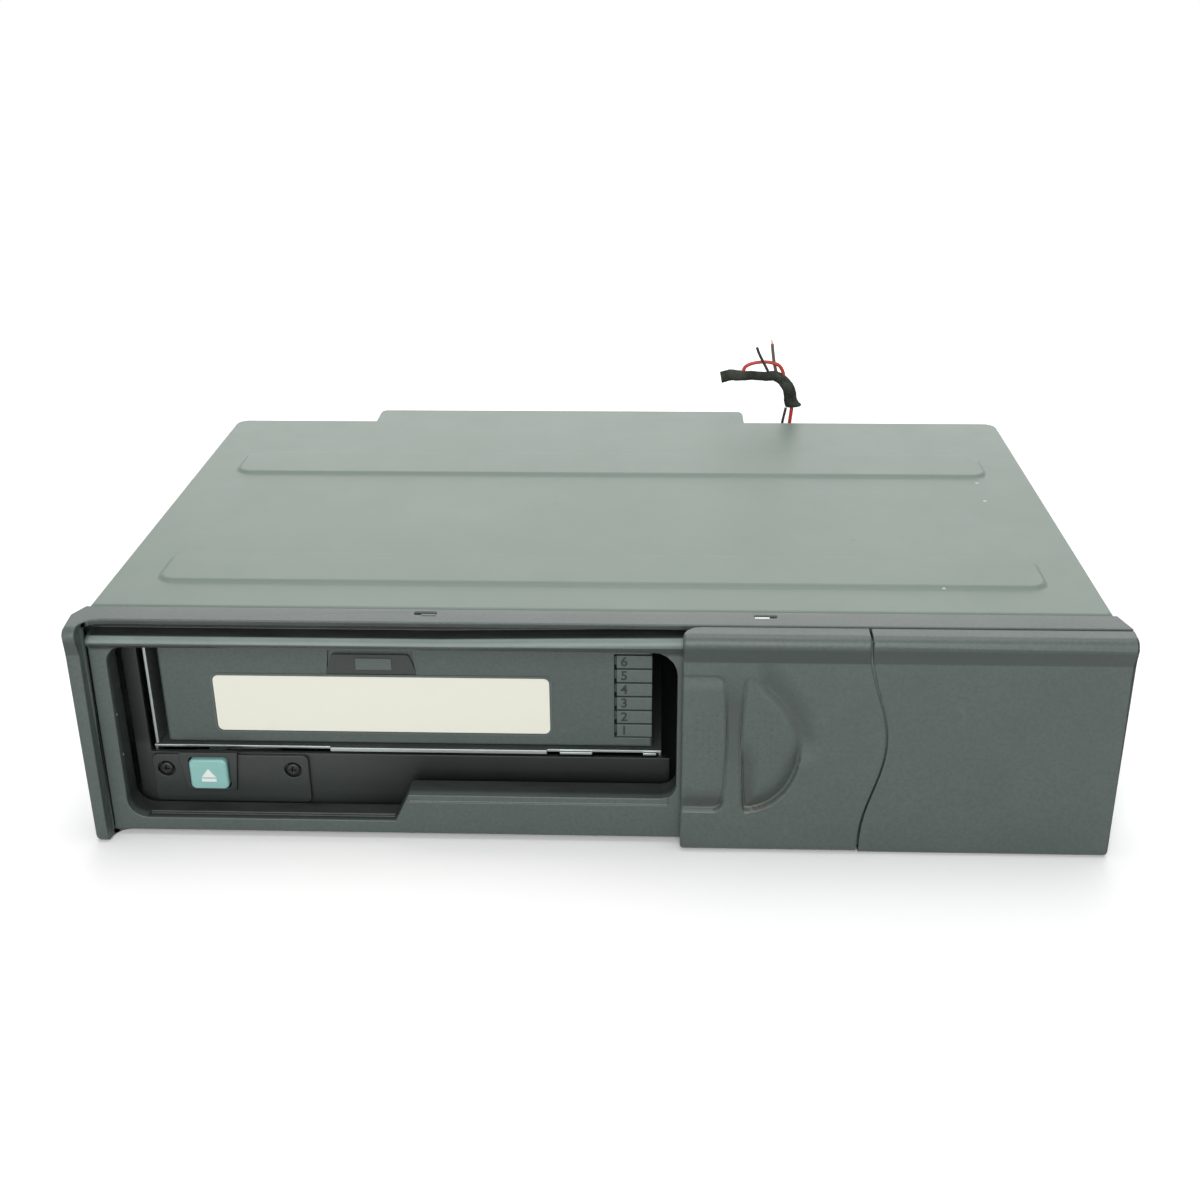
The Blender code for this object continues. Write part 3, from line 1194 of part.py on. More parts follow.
def make_floor_plate(look):
    """Bent steel table that the magazine slides on, with its front strips, legs, pivot and spring tab."""
    left = MAGAZINE_LEFT - PLATE_SIDE_MARGIN
    right = MAGAZINE_RIGHT + PLATE_RIGHT_MARGIN
    front = MAGAZINE_FRONT - PLATE_FRONT_LIP
    rear = MAGAZINE_REAR + PLATE_REAR_MARGIN
    plate = box("magazine_floor_plate", (left, right), (front, rear), (PLATE_BOTTOM, PLATE_TOP))
    corner = box(
        "corner", (right - PLATE_CORNER_CUT, right + OVERRUN), (rear - PLATE_CORNER_DEPTH, rear + OVERRUN),
        (PAN_RISE, PLATE_TOP + OVERRUN),
    )
    low = PAN_FLOOR + GAP
    leg_front = SILL_FACE + SILL_THICKNESS + GAP
    left_leg = box("left_leg", (left, left + SHEET), (leg_front, rear), (low, PLATE_TOP))
    right_leg = box(
        "right_leg", (right - SHEET, right), (leg_front, rear - PLATE_CORNER_DEPTH), (low, PLATE_TOP)
    )
    strip = box(
        "strip", (LIP_STRIP_LEFT, LIP_STRIP_LEFT + LIP_STRIP_WIDTH),
        (front - LIP_STRIP_THICKNESS, front + GAP), (PLATE_TOP - LIP_STRIP_DROP, PLATE_TOP),
    )
    unite(plate, strip)
    for start, width in ((SMALL_STRIP_LEFT, SMALL_STRIP_WIDTH), (END_STRIP_LEFT, END_STRIP_WIDTH)):
        unite(plate, box(
            "small_strip", (start, start + width), (front - LIP_STRIP_THICKNESS, front + GAP),
            (PLATE_TOP - LIP_STRIP_DROP, PLATE_TOP - LIP_STRIP_DROP / 3),
        ))
    pivot = cylinder(
        "pivot", "Z", (PIVOT_X, PIVOT_Y), PIVOT_RADIUS, PLATE_BOTTOM - PIVOT_LENGTH, PLATE_TOP - SHEET / 2, 12
    )
    tab = box(
        "spring_tab", (SPRING_X - SPRING_TAB / 2, SPRING_X + SPRING_TAB / 2),
        (rear - SPRING_TAB_THICKNESS, rear), (SPRING_TAB_LOW, PLATE_TOP - SHEET / 2),
    )
    unite(plate, left_leg, right_leg, pivot, tab)
    slot_half = EJECTOR_WIDTH / 2 + EJECTOR_SLOT_MARGIN
    ejector_slot = box(
        "ejector_slot", (EJECTOR_X - slot_half, EJECTOR_X + slot_half),
        (ejector_post_front() - EJECTOR_TRAVEL - EJECTOR_SLOT_MARGIN, rear + OVERRUN),
        (PLATE_BOTTOM - OVERRUN / 2, PLATE_TOP + OVERRUN),
    )
    latch_slot = box(
        "latch_slot", (LATCH_GROOVE_LEFT, LATCH_GROOVE_LEFT + LATCH_GROOVE_WIDTH),
        (LEVER_HOOK_Y - HOOK_HALF - LATCH_SLOT_MARGIN, LEVER_HOOK_Y + HOOK_HALF + LATCH_SLOT_MARGIN),
        (PLATE_BOTTOM - OVERRUN / 2, PLATE_TOP + OVERRUN),
    )
    cut(plate, corner, ejector_slot, latch_slot)
    return finish(plate, look)


def make_magazine_guide(look):
    """Bent steel guide: a wall left of the magazine and a plate over it."""
    left = MAGAZINE_LEFT - GAP - SHEET
    right = MAGAZINE_RIGHT + PLATE_RIGHT_MARGIN
    front = MAGAZINE_FRONT - PLATE_FRONT_LIP
    rear = MAGAZINE_REAR + PLATE_REAR_MARGIN
    top = MAGAZINE_TOP + GUIDE_RISE
    guide = box("magazine_guide", (left, left + SHEET), (front, rear), (PLATE_TOP + GAP, top))
    roof = box("roof", (left, right), (front, rear), (top - SHEET, top))
    unite(guide, roof)
    return finish(guide, look)


def link_outline(first, second, radius):
    """A bar with round ends between two points."""
    angle = math.degrees(math.atan2(second[1] - first[1], second[0] - first[0]))
    points = arc(second, radius, angle - 90, angle + 90, 8)
    points += arc(first, radius, angle + 90, angle + 270, 8)
    return points


def make_latch(look):
    """Lever under the floor plate: the button pushes its pad, and its hook stands in a groove above."""
    top = LEVER_BOTTOM + LEVER_THICKNESS
    pivot = (PIVOT_X, PIVOT_Y)
    pad = (BUTTON_X, LEVER_PAD_Y + LEVER_PAD_SETBACK + LEVER_RADIUS)
    hook = (LEVER_HOOK_X, LEVER_HOOK_Y)
    lever = prism("latch_lever", link_outline(pad, pivot, LEVER_RADIUS), "Z", LEVER_BOTTOM, top)
    arm = prism("arm", link_outline(pivot, hook, LEVER_RADIUS), "Z", LEVER_BOTTOM, top)
    claw = box(
        "claw", (hook[0] - HOOK_HALF, hook[0] + HOOK_HALF), (hook[1] - HOOK_HALF, hook[1] + HOOK_HALF),
        (LEVER_BOTTOM + LEVER_THICKNESS / 2, MAGAZINE_BOTTOM + LATCH_GROOVE_DEPTH - HOOK_TOP_DROP),
    )
    unite(lever, arm, claw)
    cut(lever, cylinder("bore", "Z", pivot, LEVER_BORE, LEVER_BOTTOM - OVERRUN, top + OVERRUN, 12))
    finish(lever, look)
    return move_origin(lever, (PIVOT_X, PIVOT_Y, LEVER_BOTTOM))


def ejector_post_front():
    """The front of the ejector's post, just behind the magazine."""
    return MAGAZINE_REAR + GAP


def spring_span():
    """The front and rear ends of the eject spring, between the ejector's tab and the floor plate's."""
    front = ejector_post_front() + EJECTOR_POST - EJECTOR_BASE_LENGTH + SPRING_TAB_THICKNESS + GAP
    rear = MAGAZINE_REAR + PLATE_REAR_MARGIN - SPRING_TAB_THICKNESS - GAP
    return front, rear


def make_ejector(look):
    """Slider that pushes the magazine forward when the latch lets go."""
    front = ejector_post_front()
    rear = front + EJECTOR_POST
    top = PLATE_BOTTOM - GAP
    half = EJECTOR_WIDTH / 2
    tip = rear - EJECTOR_BASE_LENGTH
    base = (top - EJECTOR_BASE, top)
    tab_left = SPRING_X - SPRING_TAB / 2
    ejector = box("magazine_ejector", (EJECTOR_X - half, EJECTOR_X + half), (tip, rear), base)
    foot = box("foot", (tab_left, EJECTOR_X), (tip, tip + EJECTOR_FOOT), base)
    post = box("post", (EJECTOR_X - half, EJECTOR_X + half), (front, rear), (top - EJECTOR_BASE, EJECTOR_TOP))
    tab = box(
        "tab", (tab_left, tab_left + SPRING_TAB), (tip, tip + SPRING_TAB_THICKNESS),
        (SPRING_TAB_LOW, top - EJECTOR_BASE / 2),
    )
    unite(ejector, foot, post, tab)
    finish(ejector, look)
    return move_origin(ejector, (EJECTOR_X, front, EJECTOR_TOP))


def make_tube(name, points, diameter, look, resolution):
    """A round bar or cord along a list of points, with closed ends."""
    curve = bpy.data.curves.new(name, "CURVE")
    curve.dimensions = "3D"
    curve.bevel_depth = diameter / 2
    curve.bevel_resolution = resolution
    curve.use_fill_caps = True
    spline = curve.splines.new("POLY")
    spline.points.add(len(points) - 1)
    for place, point in zip(spline.points, points):
        place.co = (*point, 1.0)
    made = bpy.data.objects.new(name, curve)
    bpy.context.scene.collection.objects.link(made)
    return finish(made, look)


def make_eject_spring(look):
    """The coiled spring that pushes the ejector forward."""
    start, end = spring_span()
    count = SPRING_TURNS * SPRING_TURN_POINTS
    run = end - start - SPRING_WIRE
    points = []
    for index in range(count + 1):
        angle = 2 * math.pi * index / SPRING_TURN_POINTS
        y = start + SPRING_WIRE / 2 + run * index / count
        x = SPRING_X + SPRING_RADIUS * math.cos(angle)
        points.append((x, y, SPRING_Z + SPRING_RADIUS * math.sin(angle)))
    least = run / SPRING_TURNS - SPRING_WIRE
    print(f"eject spring: least gap between turns {least / MM:.2f} mm")
    return make_tube("magazine_eject_spring", points, SPRING_WIRE, look, 1)


def make_lift_frame(look):
    """The lifting carriage: a flanged plate with cam pins and the lugs of the tray drive."""
    top = LIFT_BOTTOM + LIFT_PLATE
    flange_top = LIFT_BOTTOM + LIFT_FLANGE
    side_top = LIFT_BOTTOM + LIFT_SIDE_FLANGE
    frame = box("lift_frame", (LIFT_LEFT, LIFT_RIGHT), (LIFT_FRONT, LIFT_REAR), (LIFT_BOTTOM, top))
    tall = (LIFT_BOTTOM, flange_top)
    low = (LIFT_BOTTOM, side_top)
    front = box("front", (LIFT_LEFT, LIFT_RIGHT), (LIFT_FRONT, LIFT_FRONT + LIFT_FLANGE_THICKNESS), tall)
    rear = box("rear", (ARM_LEFT, LIFT_RIGHT), (LIFT_REAR - LIFT_FLANGE_THICKNESS, LIFT_REAR), tall)
    left = box(
        "left", (LIFT_LEFT, LIFT_LEFT + LIFT_FLANGE_THICKNESS), (LIFT_FRONT, SLIDER_FRONT - GAP), low
    )
    right = box("right", (LIFT_RIGHT - LIFT_FLANGE_THICKNESS, LIFT_RIGHT), (LIFT_FRONT, LIFT_REAR), low)
    unite(frame, front, rear, left, right)
    for x in (ARM_LEFT, LIFT_RIGHT - ARM_LUG):
        unite(frame, box("lug", (x, x + ARM_LUG), (ARM_LUG_FRONT, LIFT_REAR - GAP), tall))
    for x in (PIN_X, PIN_X + PIN_PITCH):
        unite(
            frame,
            cylinder("pin", "Y", (x, PIN_Z), PIN_RADIUS, PIN_FRONT_END, LIFT_FRONT + PIN_ROOT, 12),
            cylinder("pin", "Y", (x, PIN_Z), PIN_RADIUS, LIFT_REAR - PIN_ROOT, PIN_REAR_END, 12),
        )
    hole = cylinder(
        "hole", "Z", (SPINDLE_X, SPINDLE_Y), LIFT_HOLE_RADIUS, LIFT_BOTTOM - OVERRUN, top + OVERRUN, 24
    )
    bore = cylinder(
        "bore", "X", (DRIVE_SCREW_Y, DRIVE_SCREW_Z), DRIVE_BORE_RADIUS,
        ARM_LEFT - OVERRUN, LIFT_RIGHT + OVERRUN, 12,
    )
    cut(frame, hole, bore)
    finish(frame, look)
    return move_origin(frame, (PIN_X, LIFT_FRONT, PIN_Z))


def slot_tool(name, start, end, radius, y_span):
    """A cutter for a slot with round ends between two points in X and Z."""
    return prism(name, link_outline(start, end, radius), "Y", *y_span)


def make_post_plate(name, y, left, look, stud=False):
    """Upright steel plate whose slots hold the lift pins in line."""
    plate = box(name, (left, POST_PLATE_RIGHT), (y, y + SHEET), (PAN_FLOOR + GAP, POST_PLATE_TOP))
    span = (y - OVERRUN, y + SHEET + OVERRUN)
    for x in (PIN_X, PIN_X + PIN_PITCH):
        cut(plate, slot_tool("slot", (x, PIN_Z), (x, PIN_Z + LIFT), PIN_RADIUS + PIN_PLAY, span))
    if stud:
        end = REAR_CAM_Y + GEAR_THICKNESS + GAP
        unite(plate, cylinder("stud", "Y", (GEAR_X, GEAR_Z), STUD_RADIUS, y + SHEET / 2, end, 12))
    return finish(plate, look)


def make_cam(name, y, look, rack=False):
    """Sliding cam plate with two slots that raise the lift pins as it moves right."""
    cam = box(name, (CAM_LEFT, CAM_RIGHT), (y, y + CAM_THICKNESS), (CAM_BOTTOM, CAM_TOP))
    span = (y - OVERRUN, y + CAM_THICKNESS + OVERRUN)
    for x in (PIN_X, PIN_X + PIN_PITCH):
        start = (x, PIN_Z)
        end = (x - LIFT, PIN_Z + LIFT)
        cut(cam, slot_tool("slot", start, end, PIN_RADIUS + PIN_PLAY, span))
    if rack:
        unite(cam, prism("rack", rack_outline(), "Y", y, y + CAM_THICKNESS))
    finish(cam, look)
    return move_origin(cam, (PIN_X, y, PIN_Z))




def rack_outline():
    """The rack bar left of the rear cam, with its teeth along the top."""
    pitch = math.pi * MODULE
    line = GEAR_Z - MODULE * GEAR_TEETH / 2
    root = line - DEDENDUM_SHARE * MODULE
    tip = line + ADDENDUM_SHARE * MODULE
    count = int((GEAR_X - RACK_LEFT) // pitch)
    points = [(CAM_LEFT + OVERRUN, CAM_BOTTOM), (CAM_LEFT + OVERRUN, root)]
    for index in range(1, -count - 1, -1):
        middle = GEAR_X + pitch * index
        half_root = pitch * TOOTH_ROOT_SHARE / 2
        half_tip = pitch * TOOTH_TIP_SHARE / 2
        points += [(middle + half_root, root), (middle + half_tip, tip)]
        points += [(middle - half_tip, tip), (middle - half_root, root)]
    points += [(RACK_LEFT - pitch, root), (RACK_LEFT - pitch, CAM_BOTTOM)]
    return points


def gear_outline(centre, teeth, start_degrees):
    """The outline of a spur gear in X and Z, with a tooth at the start angle."""
    pitch_radius = MODULE * teeth / 2
    root = pitch_radius - DEDENDUM_SHARE * MODULE
    tip = pitch_radius + ADDENDUM_SHARE * MODULE
    step = 360 / teeth
    points = []
    for index in range(teeth):
        middle = start_degrees + step * index
        for radius, share in (
            (root, -TOOTH_ROOT_SHARE), (pitch_radius, -TOOTH_PITCH_SHARE), (tip, -TOOTH_TIP_SHARE),
            (tip, TOOTH_TIP_SHARE), (pitch_radius, TOOTH_PITCH_SHARE), (root, TOOTH_ROOT_SHARE),
        ):
            angle = math.radians(middle + step * share / 2)
            points.append((centre[0] + radius * math.cos(angle), centre[1] + radius * math.sin(angle)))
    return points


def pinion_centre():
    """The motor pinion's axis, above the lift gear."""
    return (GEAR_X, GEAR_Z + MODULE * (GEAR_TEETH + PINION_TEETH) / 2)


def make_gear(name, centre, teeth, start_degrees, bore, look):
    """A spur gear on an axis along Y."""
    front = REAR_CAM_Y - GAP / 3
    gear = prism(name, gear_outline(centre, teeth, start_degrees), "Y", front, front + GEAR_THICKNESS)
    cut(gear, cylinder("bore", "Y", centre, bore, front - OVERRUN, front + GEAR_THICKNESS + OVERRUN, 12))
    finish(gear, look)
    return move_origin(gear, (centre[0], front, centre[1]))


def make_lift_motor(look):
    """Flat motor that turns the pinion."""
    centre = pinion_centre()
    rear = LIFT_MOTOR_FRONT + LIFT_MOTOR_LENGTH
    motor = cylinder("lift_motor", "Y", centre, LIFT_MOTOR_RADIUS, LIFT_MOTOR_FRONT, rear, 24)
    shaft = cylinder("shaft", "Y", centre, LIFT_SHAFT_RADIUS, REAR_CAM_Y, LIFT_MOTOR_FRONT + GAP, 10)
    return finish(unite(motor, shaft), look)


def make_drive_screw(look):
    """Long lead screw that moves the tray slider."""
    start = ARM_LEFT
    screw = cylinder(
        "tray_drive_screw", "X", (DRIVE_SCREW_Y, DRIVE_SCREW_Z), DRIVE_SCREW_RADIUS,
        start, LIFT_RIGHT - GAP, 10,
    )
    finish(screw, look)
    return move_origin(screw, (start, DRIVE_SCREW_Y, DRIVE_SCREW_Z))


def make_drive_motor(look):
    """Small motor at the left end of the tray drive's screw."""
    right = ARM_LEFT - GAP
    motor = cylinder(
        "tray_drive_motor", "X", (DRIVE_SCREW_Y, DRIVE_SCREW_Z), DRIVE_MOTOR_RADIUS,
        right - DRIVE_MOTOR_LENGTH, right, 16,
    )
    return finish(motor, look)


def make_slider(look):
    """Nut on the drive screw, with the finger that takes a tray by its notch."""
    right = SLIDER_LEFT + SLIDER_WIDTH
    heights = (SLIDER_BOTTOM, SLIDER_TOP)
    slider = box("tray_slider", (SLIDER_LEFT, right), (SLIDER_FRONT, SLIDER_REAR), heights)
    middle = TRAY_RIGHT - NOTCH_EAR - NOTCH_WIDTH / 2
    finger = box(
        "finger", (middle - FINGER_WIDTH / 2, middle + FINGER_WIDTH / 2), (FINGER_FRONT, SLIDER_FRONT + GAP),
        (SLIDER_TOP - FINGER_HEIGHT, SLIDER_TOP),
    )
    unite(slider, finger)
    bore = cylinder(
        "bore", "X", (DRIVE_SCREW_Y, DRIVE_SCREW_Z), DRIVE_BORE_RADIUS,
        SLIDER_LEFT - OVERRUN, right + OVERRUN, 12,
    )
    cut(slider, bore)
    finish(slider, look)
    return move_origin(slider, (SLIDER_LEFT, DRIVE_SCREW_Y, DRIVE_SCREW_Z))


def axis_places():
    """Where the two guide rods and the lead screw lie across the deck."""
    return (SPINDLE_Y - FRONT_ROD_OFFSET, SPINDLE_Y + REAR_ROD_OFFSET, SPINDLE_Y + SCREW_OFFSET)


def make_deck(look):
    """Damped deck that holds the spindle motor, the rods and the pickup."""
    outline = rounded_rectangle((DECK_LEFT, DECK_RIGHT), (DECK_FRONT, DECK_REAR), [DECK_CORNER] * 4, 3)
    top = DECK_BOTTOM + DECK_THICKNESS
    deck = prism("drive_deck", outline, "Z", DECK_BOTTOM, top)
    through = (DECK_BOTTOM - OVERRUN, top + OVERRUN)
    lens_x = SPINDLE_X + LENS_START
    opening = box(
        "opening", (lens_x - SLED_BEHIND - GAP, lens_x + SLED_TRAVEL + SLED_AHEAD + GAP),
        (SPINDLE_Y - SLED_HALF - GAP, SPINDLE_Y + SLED_HALF + GAP), through,
    )
    shaft_hole = cylinder("shaft_hole", "Z", (SPINDLE_X, SPINDLE_Y), SHAFT_RADIUS + SHAFT_PLAY, *through, 12)
    screw_y = axis_places()[2]
    motor_half = SLED_MOTOR_RADIUS + GAP
    motor_room = box(
        "motor_room", (SLED_MOTOR_LEFT - GAP, SLED_MOTOR_LEFT + SLED_MOTOR_LENGTH + GAP),
        (screw_y - motor_half, screw_y + motor_half), through,
    )
    cut(deck, opening, shaft_hole, motor_room)
    front_rod, rear_rod, screw = axis_places()
    right_lug = DECK_RIGHT - ROD_LUG
    for x, y in ((ROD_LUG_LEFT, front_rod), (ROD_LUG_LEFT, rear_rod),
                 (right_lug, front_rod), (right_lug, rear_rod), (right_lug, screw)):
        lug = box(
            "lug", (x, x + ROD_LUG), (y - ROD_LUG_HALF, y + ROD_LUG_HALF),
            (top - DECK_THICKNESS / 2, ROD_LUG_TOP),
        )
        unite(deck, lug)
    for y in (front_rod, rear_rod, screw):
        start = SLED_MOTOR_LEFT + SLED_MOTOR_LENGTH + GAP if y == screw else ROD_LUG_LEFT - OVERRUN
        cut(deck, cylinder("bore", "X", (y, ROD_Z), ROD_RADIUS + GAP, start, DECK_RIGHT + OVERRUN, 12))
    return finish(deck, look)


def make_damper(index, x, y, look):
    """Rubber damper between the lifting frame and the deck."""
    low = LIFT_BOTTOM + LIFT_PLATE + GAP
    high = DECK_BOTTOM - GAP
    third = (high - low) / 3
    profile = [(0, low), (DAMPER_RADIUS, low), (DAMPER_RADIUS, low + third), (DAMPER_WAIST, low + third),
               (DAMPER_WAIST, high - third), (DAMPER_RADIUS, high - third), (DAMPER_RADIUS, high), (0, high)]
    return finish(turned(f"deck_damper_{index}", (x, y), profile, SMALL_ROUND_STEPS), look)


def make_spindle_motor(look):
    """Flat spindle motor under the deck, with its shaft up through the deck."""
    high = DECK_BOTTOM - GAP
    profile = [
        (0, SPINDLE_MOTOR_BOTTOM), (SPINDLE_MOTOR_RADIUS, SPINDLE_MOTOR_BOTTOM), (SPINDLE_MOTOR_RADIUS, high),
        (SHAFT_RADIUS, high), (SHAFT_RADIUS, SHAFT_TOP), (0, SHAFT_TOP),
    ]
    return finish(turned("spindle_motor", (SPINDLE_X, SPINDLE_Y), profile), look)


def make_turntable(look):
    """Turntable with the cone that centres a disc."""
    bore = SHAFT_RADIUS + GAP / 3
    profile = [(0, HUB_BORE_TOP), (bore, HUB_BORE_TOP), (bore, TABLE_BOTTOM), (TABLE_RADIUS, TABLE_BOTTOM),
               (TABLE_RADIUS, TABLE_TOP), (HUB_RADIUS, TABLE_TOP), (HUB_RADIUS, (TABLE_TOP + HUB_TOP) / 2),
               (HUB_TIP_RADIUS, HUB_TOP), (0, HUB_TOP)]
    table = finish(turned("turntable", (SPINDLE_X, SPINDLE_Y), profile), look)
    return move_origin(table, (SPINDLE_X, SPINDLE_Y, TABLE_BOTTOM))


def make_rod(name, y, look):
    """Guide rod of the pickup sled."""
    return finish(cylinder(name, "X", (y, ROD_Z), ROD_RADIUS, ROD_LUG_LEFT + GAP, DECK_RIGHT - GAP, 12), look)


def make_sled(look):
    """Pickup sled: optical block, lens, and the saddles that ride on the rods and the screw."""
    lens_x = SPINDLE_X + LENS_START
    x_span = (lens_x - SLED_BEHIND, lens_x + SLED_AHEAD)
    front_rod, rear_rod, screw = axis_places()
    sled = box("pickup_sled", x_span, (SPINDLE_Y - SLED_HALF, SPINDLE_Y + SLED_HALF), (SLED_BOTTOM, SLED_TOP))
    saddle = box("saddle", x_span, (front_rod - SADDLE_MARGIN, screw + SADDLE_MARGIN), (SADDLE_LOW, SLED_TOP))
    lens_centre = (lens_x, SPINDLE_Y)
    half_rise = SLED_TOP + LENS_RISE / 2
    lens = cylinder("lens", "Z", lens_centre, LENS_RADIUS, SLED_TOP - GAP, half_rise, SMALL_ROUND_STEPS)
    tip = cylinder(
        "lens_tip", "Z", lens_centre, LENS_TIP_RADIUS, SLED_TOP, SLED_TOP + LENS_RISE, SMALL_ROUND_STEPS
    )
    unite(sled, saddle, lens, tip)
    for y in (front_rod, rear_rod, screw):
        span = (x_span[0] - OVERRUN, x_span[1] + OVERRUN)
        radius = ROD_RADIUS + GAP
        half = radius * math.cos(math.pi / 12)
        throat = box("throat", span, (y - half, y + half), (SADDLE_LOW - GAP, ROD_Z))
        cut(sled, cylinder("bore", "X", (y, ROD_Z), radius, *span, 12), throat)
    finish(sled, look)
    return move_origin(sled, (lens_x, SPINDLE_Y, SLED_TOP))


def make_lead_screw(look):
    """Lead screw of the pickup sled."""
    start = SLED_MOTOR_LEFT + SLED_MOTOR_LENGTH + GAP
    y = axis_places()[2]
    screw = cylinder("sled_lead_screw", "X", (y, ROD_Z), LEAD_SCREW_RADIUS, start, DECK_RIGHT - GAP, 12)
    finish(screw, look)
    return move_origin(screw, (start, y, ROD_Z))


def make_sled_motor(look):
    """Motor that turns the sled's lead screw."""
    y = axis_places()[2]
    return finish(
        cylinder("sled_motor", "X", (y, ROD_Z), SLED_MOTOR_RADIUS, SLED_MOTOR_LEFT,
                 SLED_MOTOR_LEFT + SLED_MOTOR_LENGTH, 20), look,
    )




def make_board(look):
    """Main circuit board under the magazine with its chips and cans."""
    top = BOARD_BOTTOM + BOARD_THICKNESS
    right = BOARD_LEFT + BOARD_WIDTH
    rear = BOARD_FRONT + BOARD_LENGTH
    board = box("main_circuit_board", (BOARD_LEFT, right), (BOARD_FRONT, rear), (BOARD_BOTTOM, top))
    for x_share, y_share in CHIP_SHARES:
        x = BOARD_LEFT + BOARD_WIDTH * x_share
        y = BOARD_FRONT + BOARD_LENGTH * y_share
        half = CHIP_SIZE / 2
        unite(board, box("chip", (x - half, x + half), (y - half, y + half), (top - GAP, top + CHIP_HEIGHT)))
    for x_share, y_share in CAN_SHARES:
        centre = (BOARD_LEFT + BOARD_WIDTH * x_share, BOARD_FRONT + BOARD_LENGTH * y_share)
        unite(board, cylinder("can", "Z", centre, CAN_RADIUS, top - GAP, top + CAN_HEIGHT, 12))
    return finish(board, look)


def make_cable_entry(look):
    """Rubber gland in the rear wall where the harness comes out."""
    flange_front = PAN_REAR + GAP
    inner = PAN_REAR - SHEET - GAP - ENTRY_FLANGE
    outer = flange_front + ENTRY_FLANGE
    centre = (ENTRY_X, ENTRY_Z)
    entry = cylinder("cable_entry", "Y", centre, ENTRY_RADIUS, inner, outer, SMALL_ROUND_STEPS)
    flange = cylinder(
        "flange", "Y", centre, ENTRY_FLANGE_RADIUS, flange_front, outer, SMALL_ROUND_STEPS
    )
    return finish(unite(entry, flange), look)


def smooth_route(route_mm, diameter):
    """Evenly spaced points on a smooth curve through a cord's own points."""
    places = [Vector(point) * MM for point in route_mm]
    places = [places[0] * 2 - places[1], *places, places[-1] * 2 - places[-2]]
    fine = []
    steps = 12
    for before, start, end, after in zip(places, places[1:], places[2:], places[3:]):
        for index in range(steps):
            t = index / steps
            point = (start * 2 + (end - before) * t + (before * 2 - start * 5 + end * 4 - after) * t ** 2
                     + (start * 3 - before - end * 3 + after) * t ** 3) / 2
            fine.append(point)
    fine.append(places[-2])
    total = sum((b - a).length for a, b in zip(fine, fine[1:]))
    count = max(CORD_LEAST_PIECES, round(total / (CORD_SPACING_SHARE * diameter)))
    chosen = [fine[0]]
    travelled = 0.0
    for a, b in zip(fine, fine[1:]):
        travelled += (b - a).length
        if travelled >= total * len(chosen) / count - GAP / 100 and len(chosen) < count:
            chosen.append(b)
    chosen.append(fine[-1])
    return chosen


def make_cord(name, route_mm, diameter, look):
    return make_tube(name, smooth_route(route_mm, diameter), diameter, look, 2)


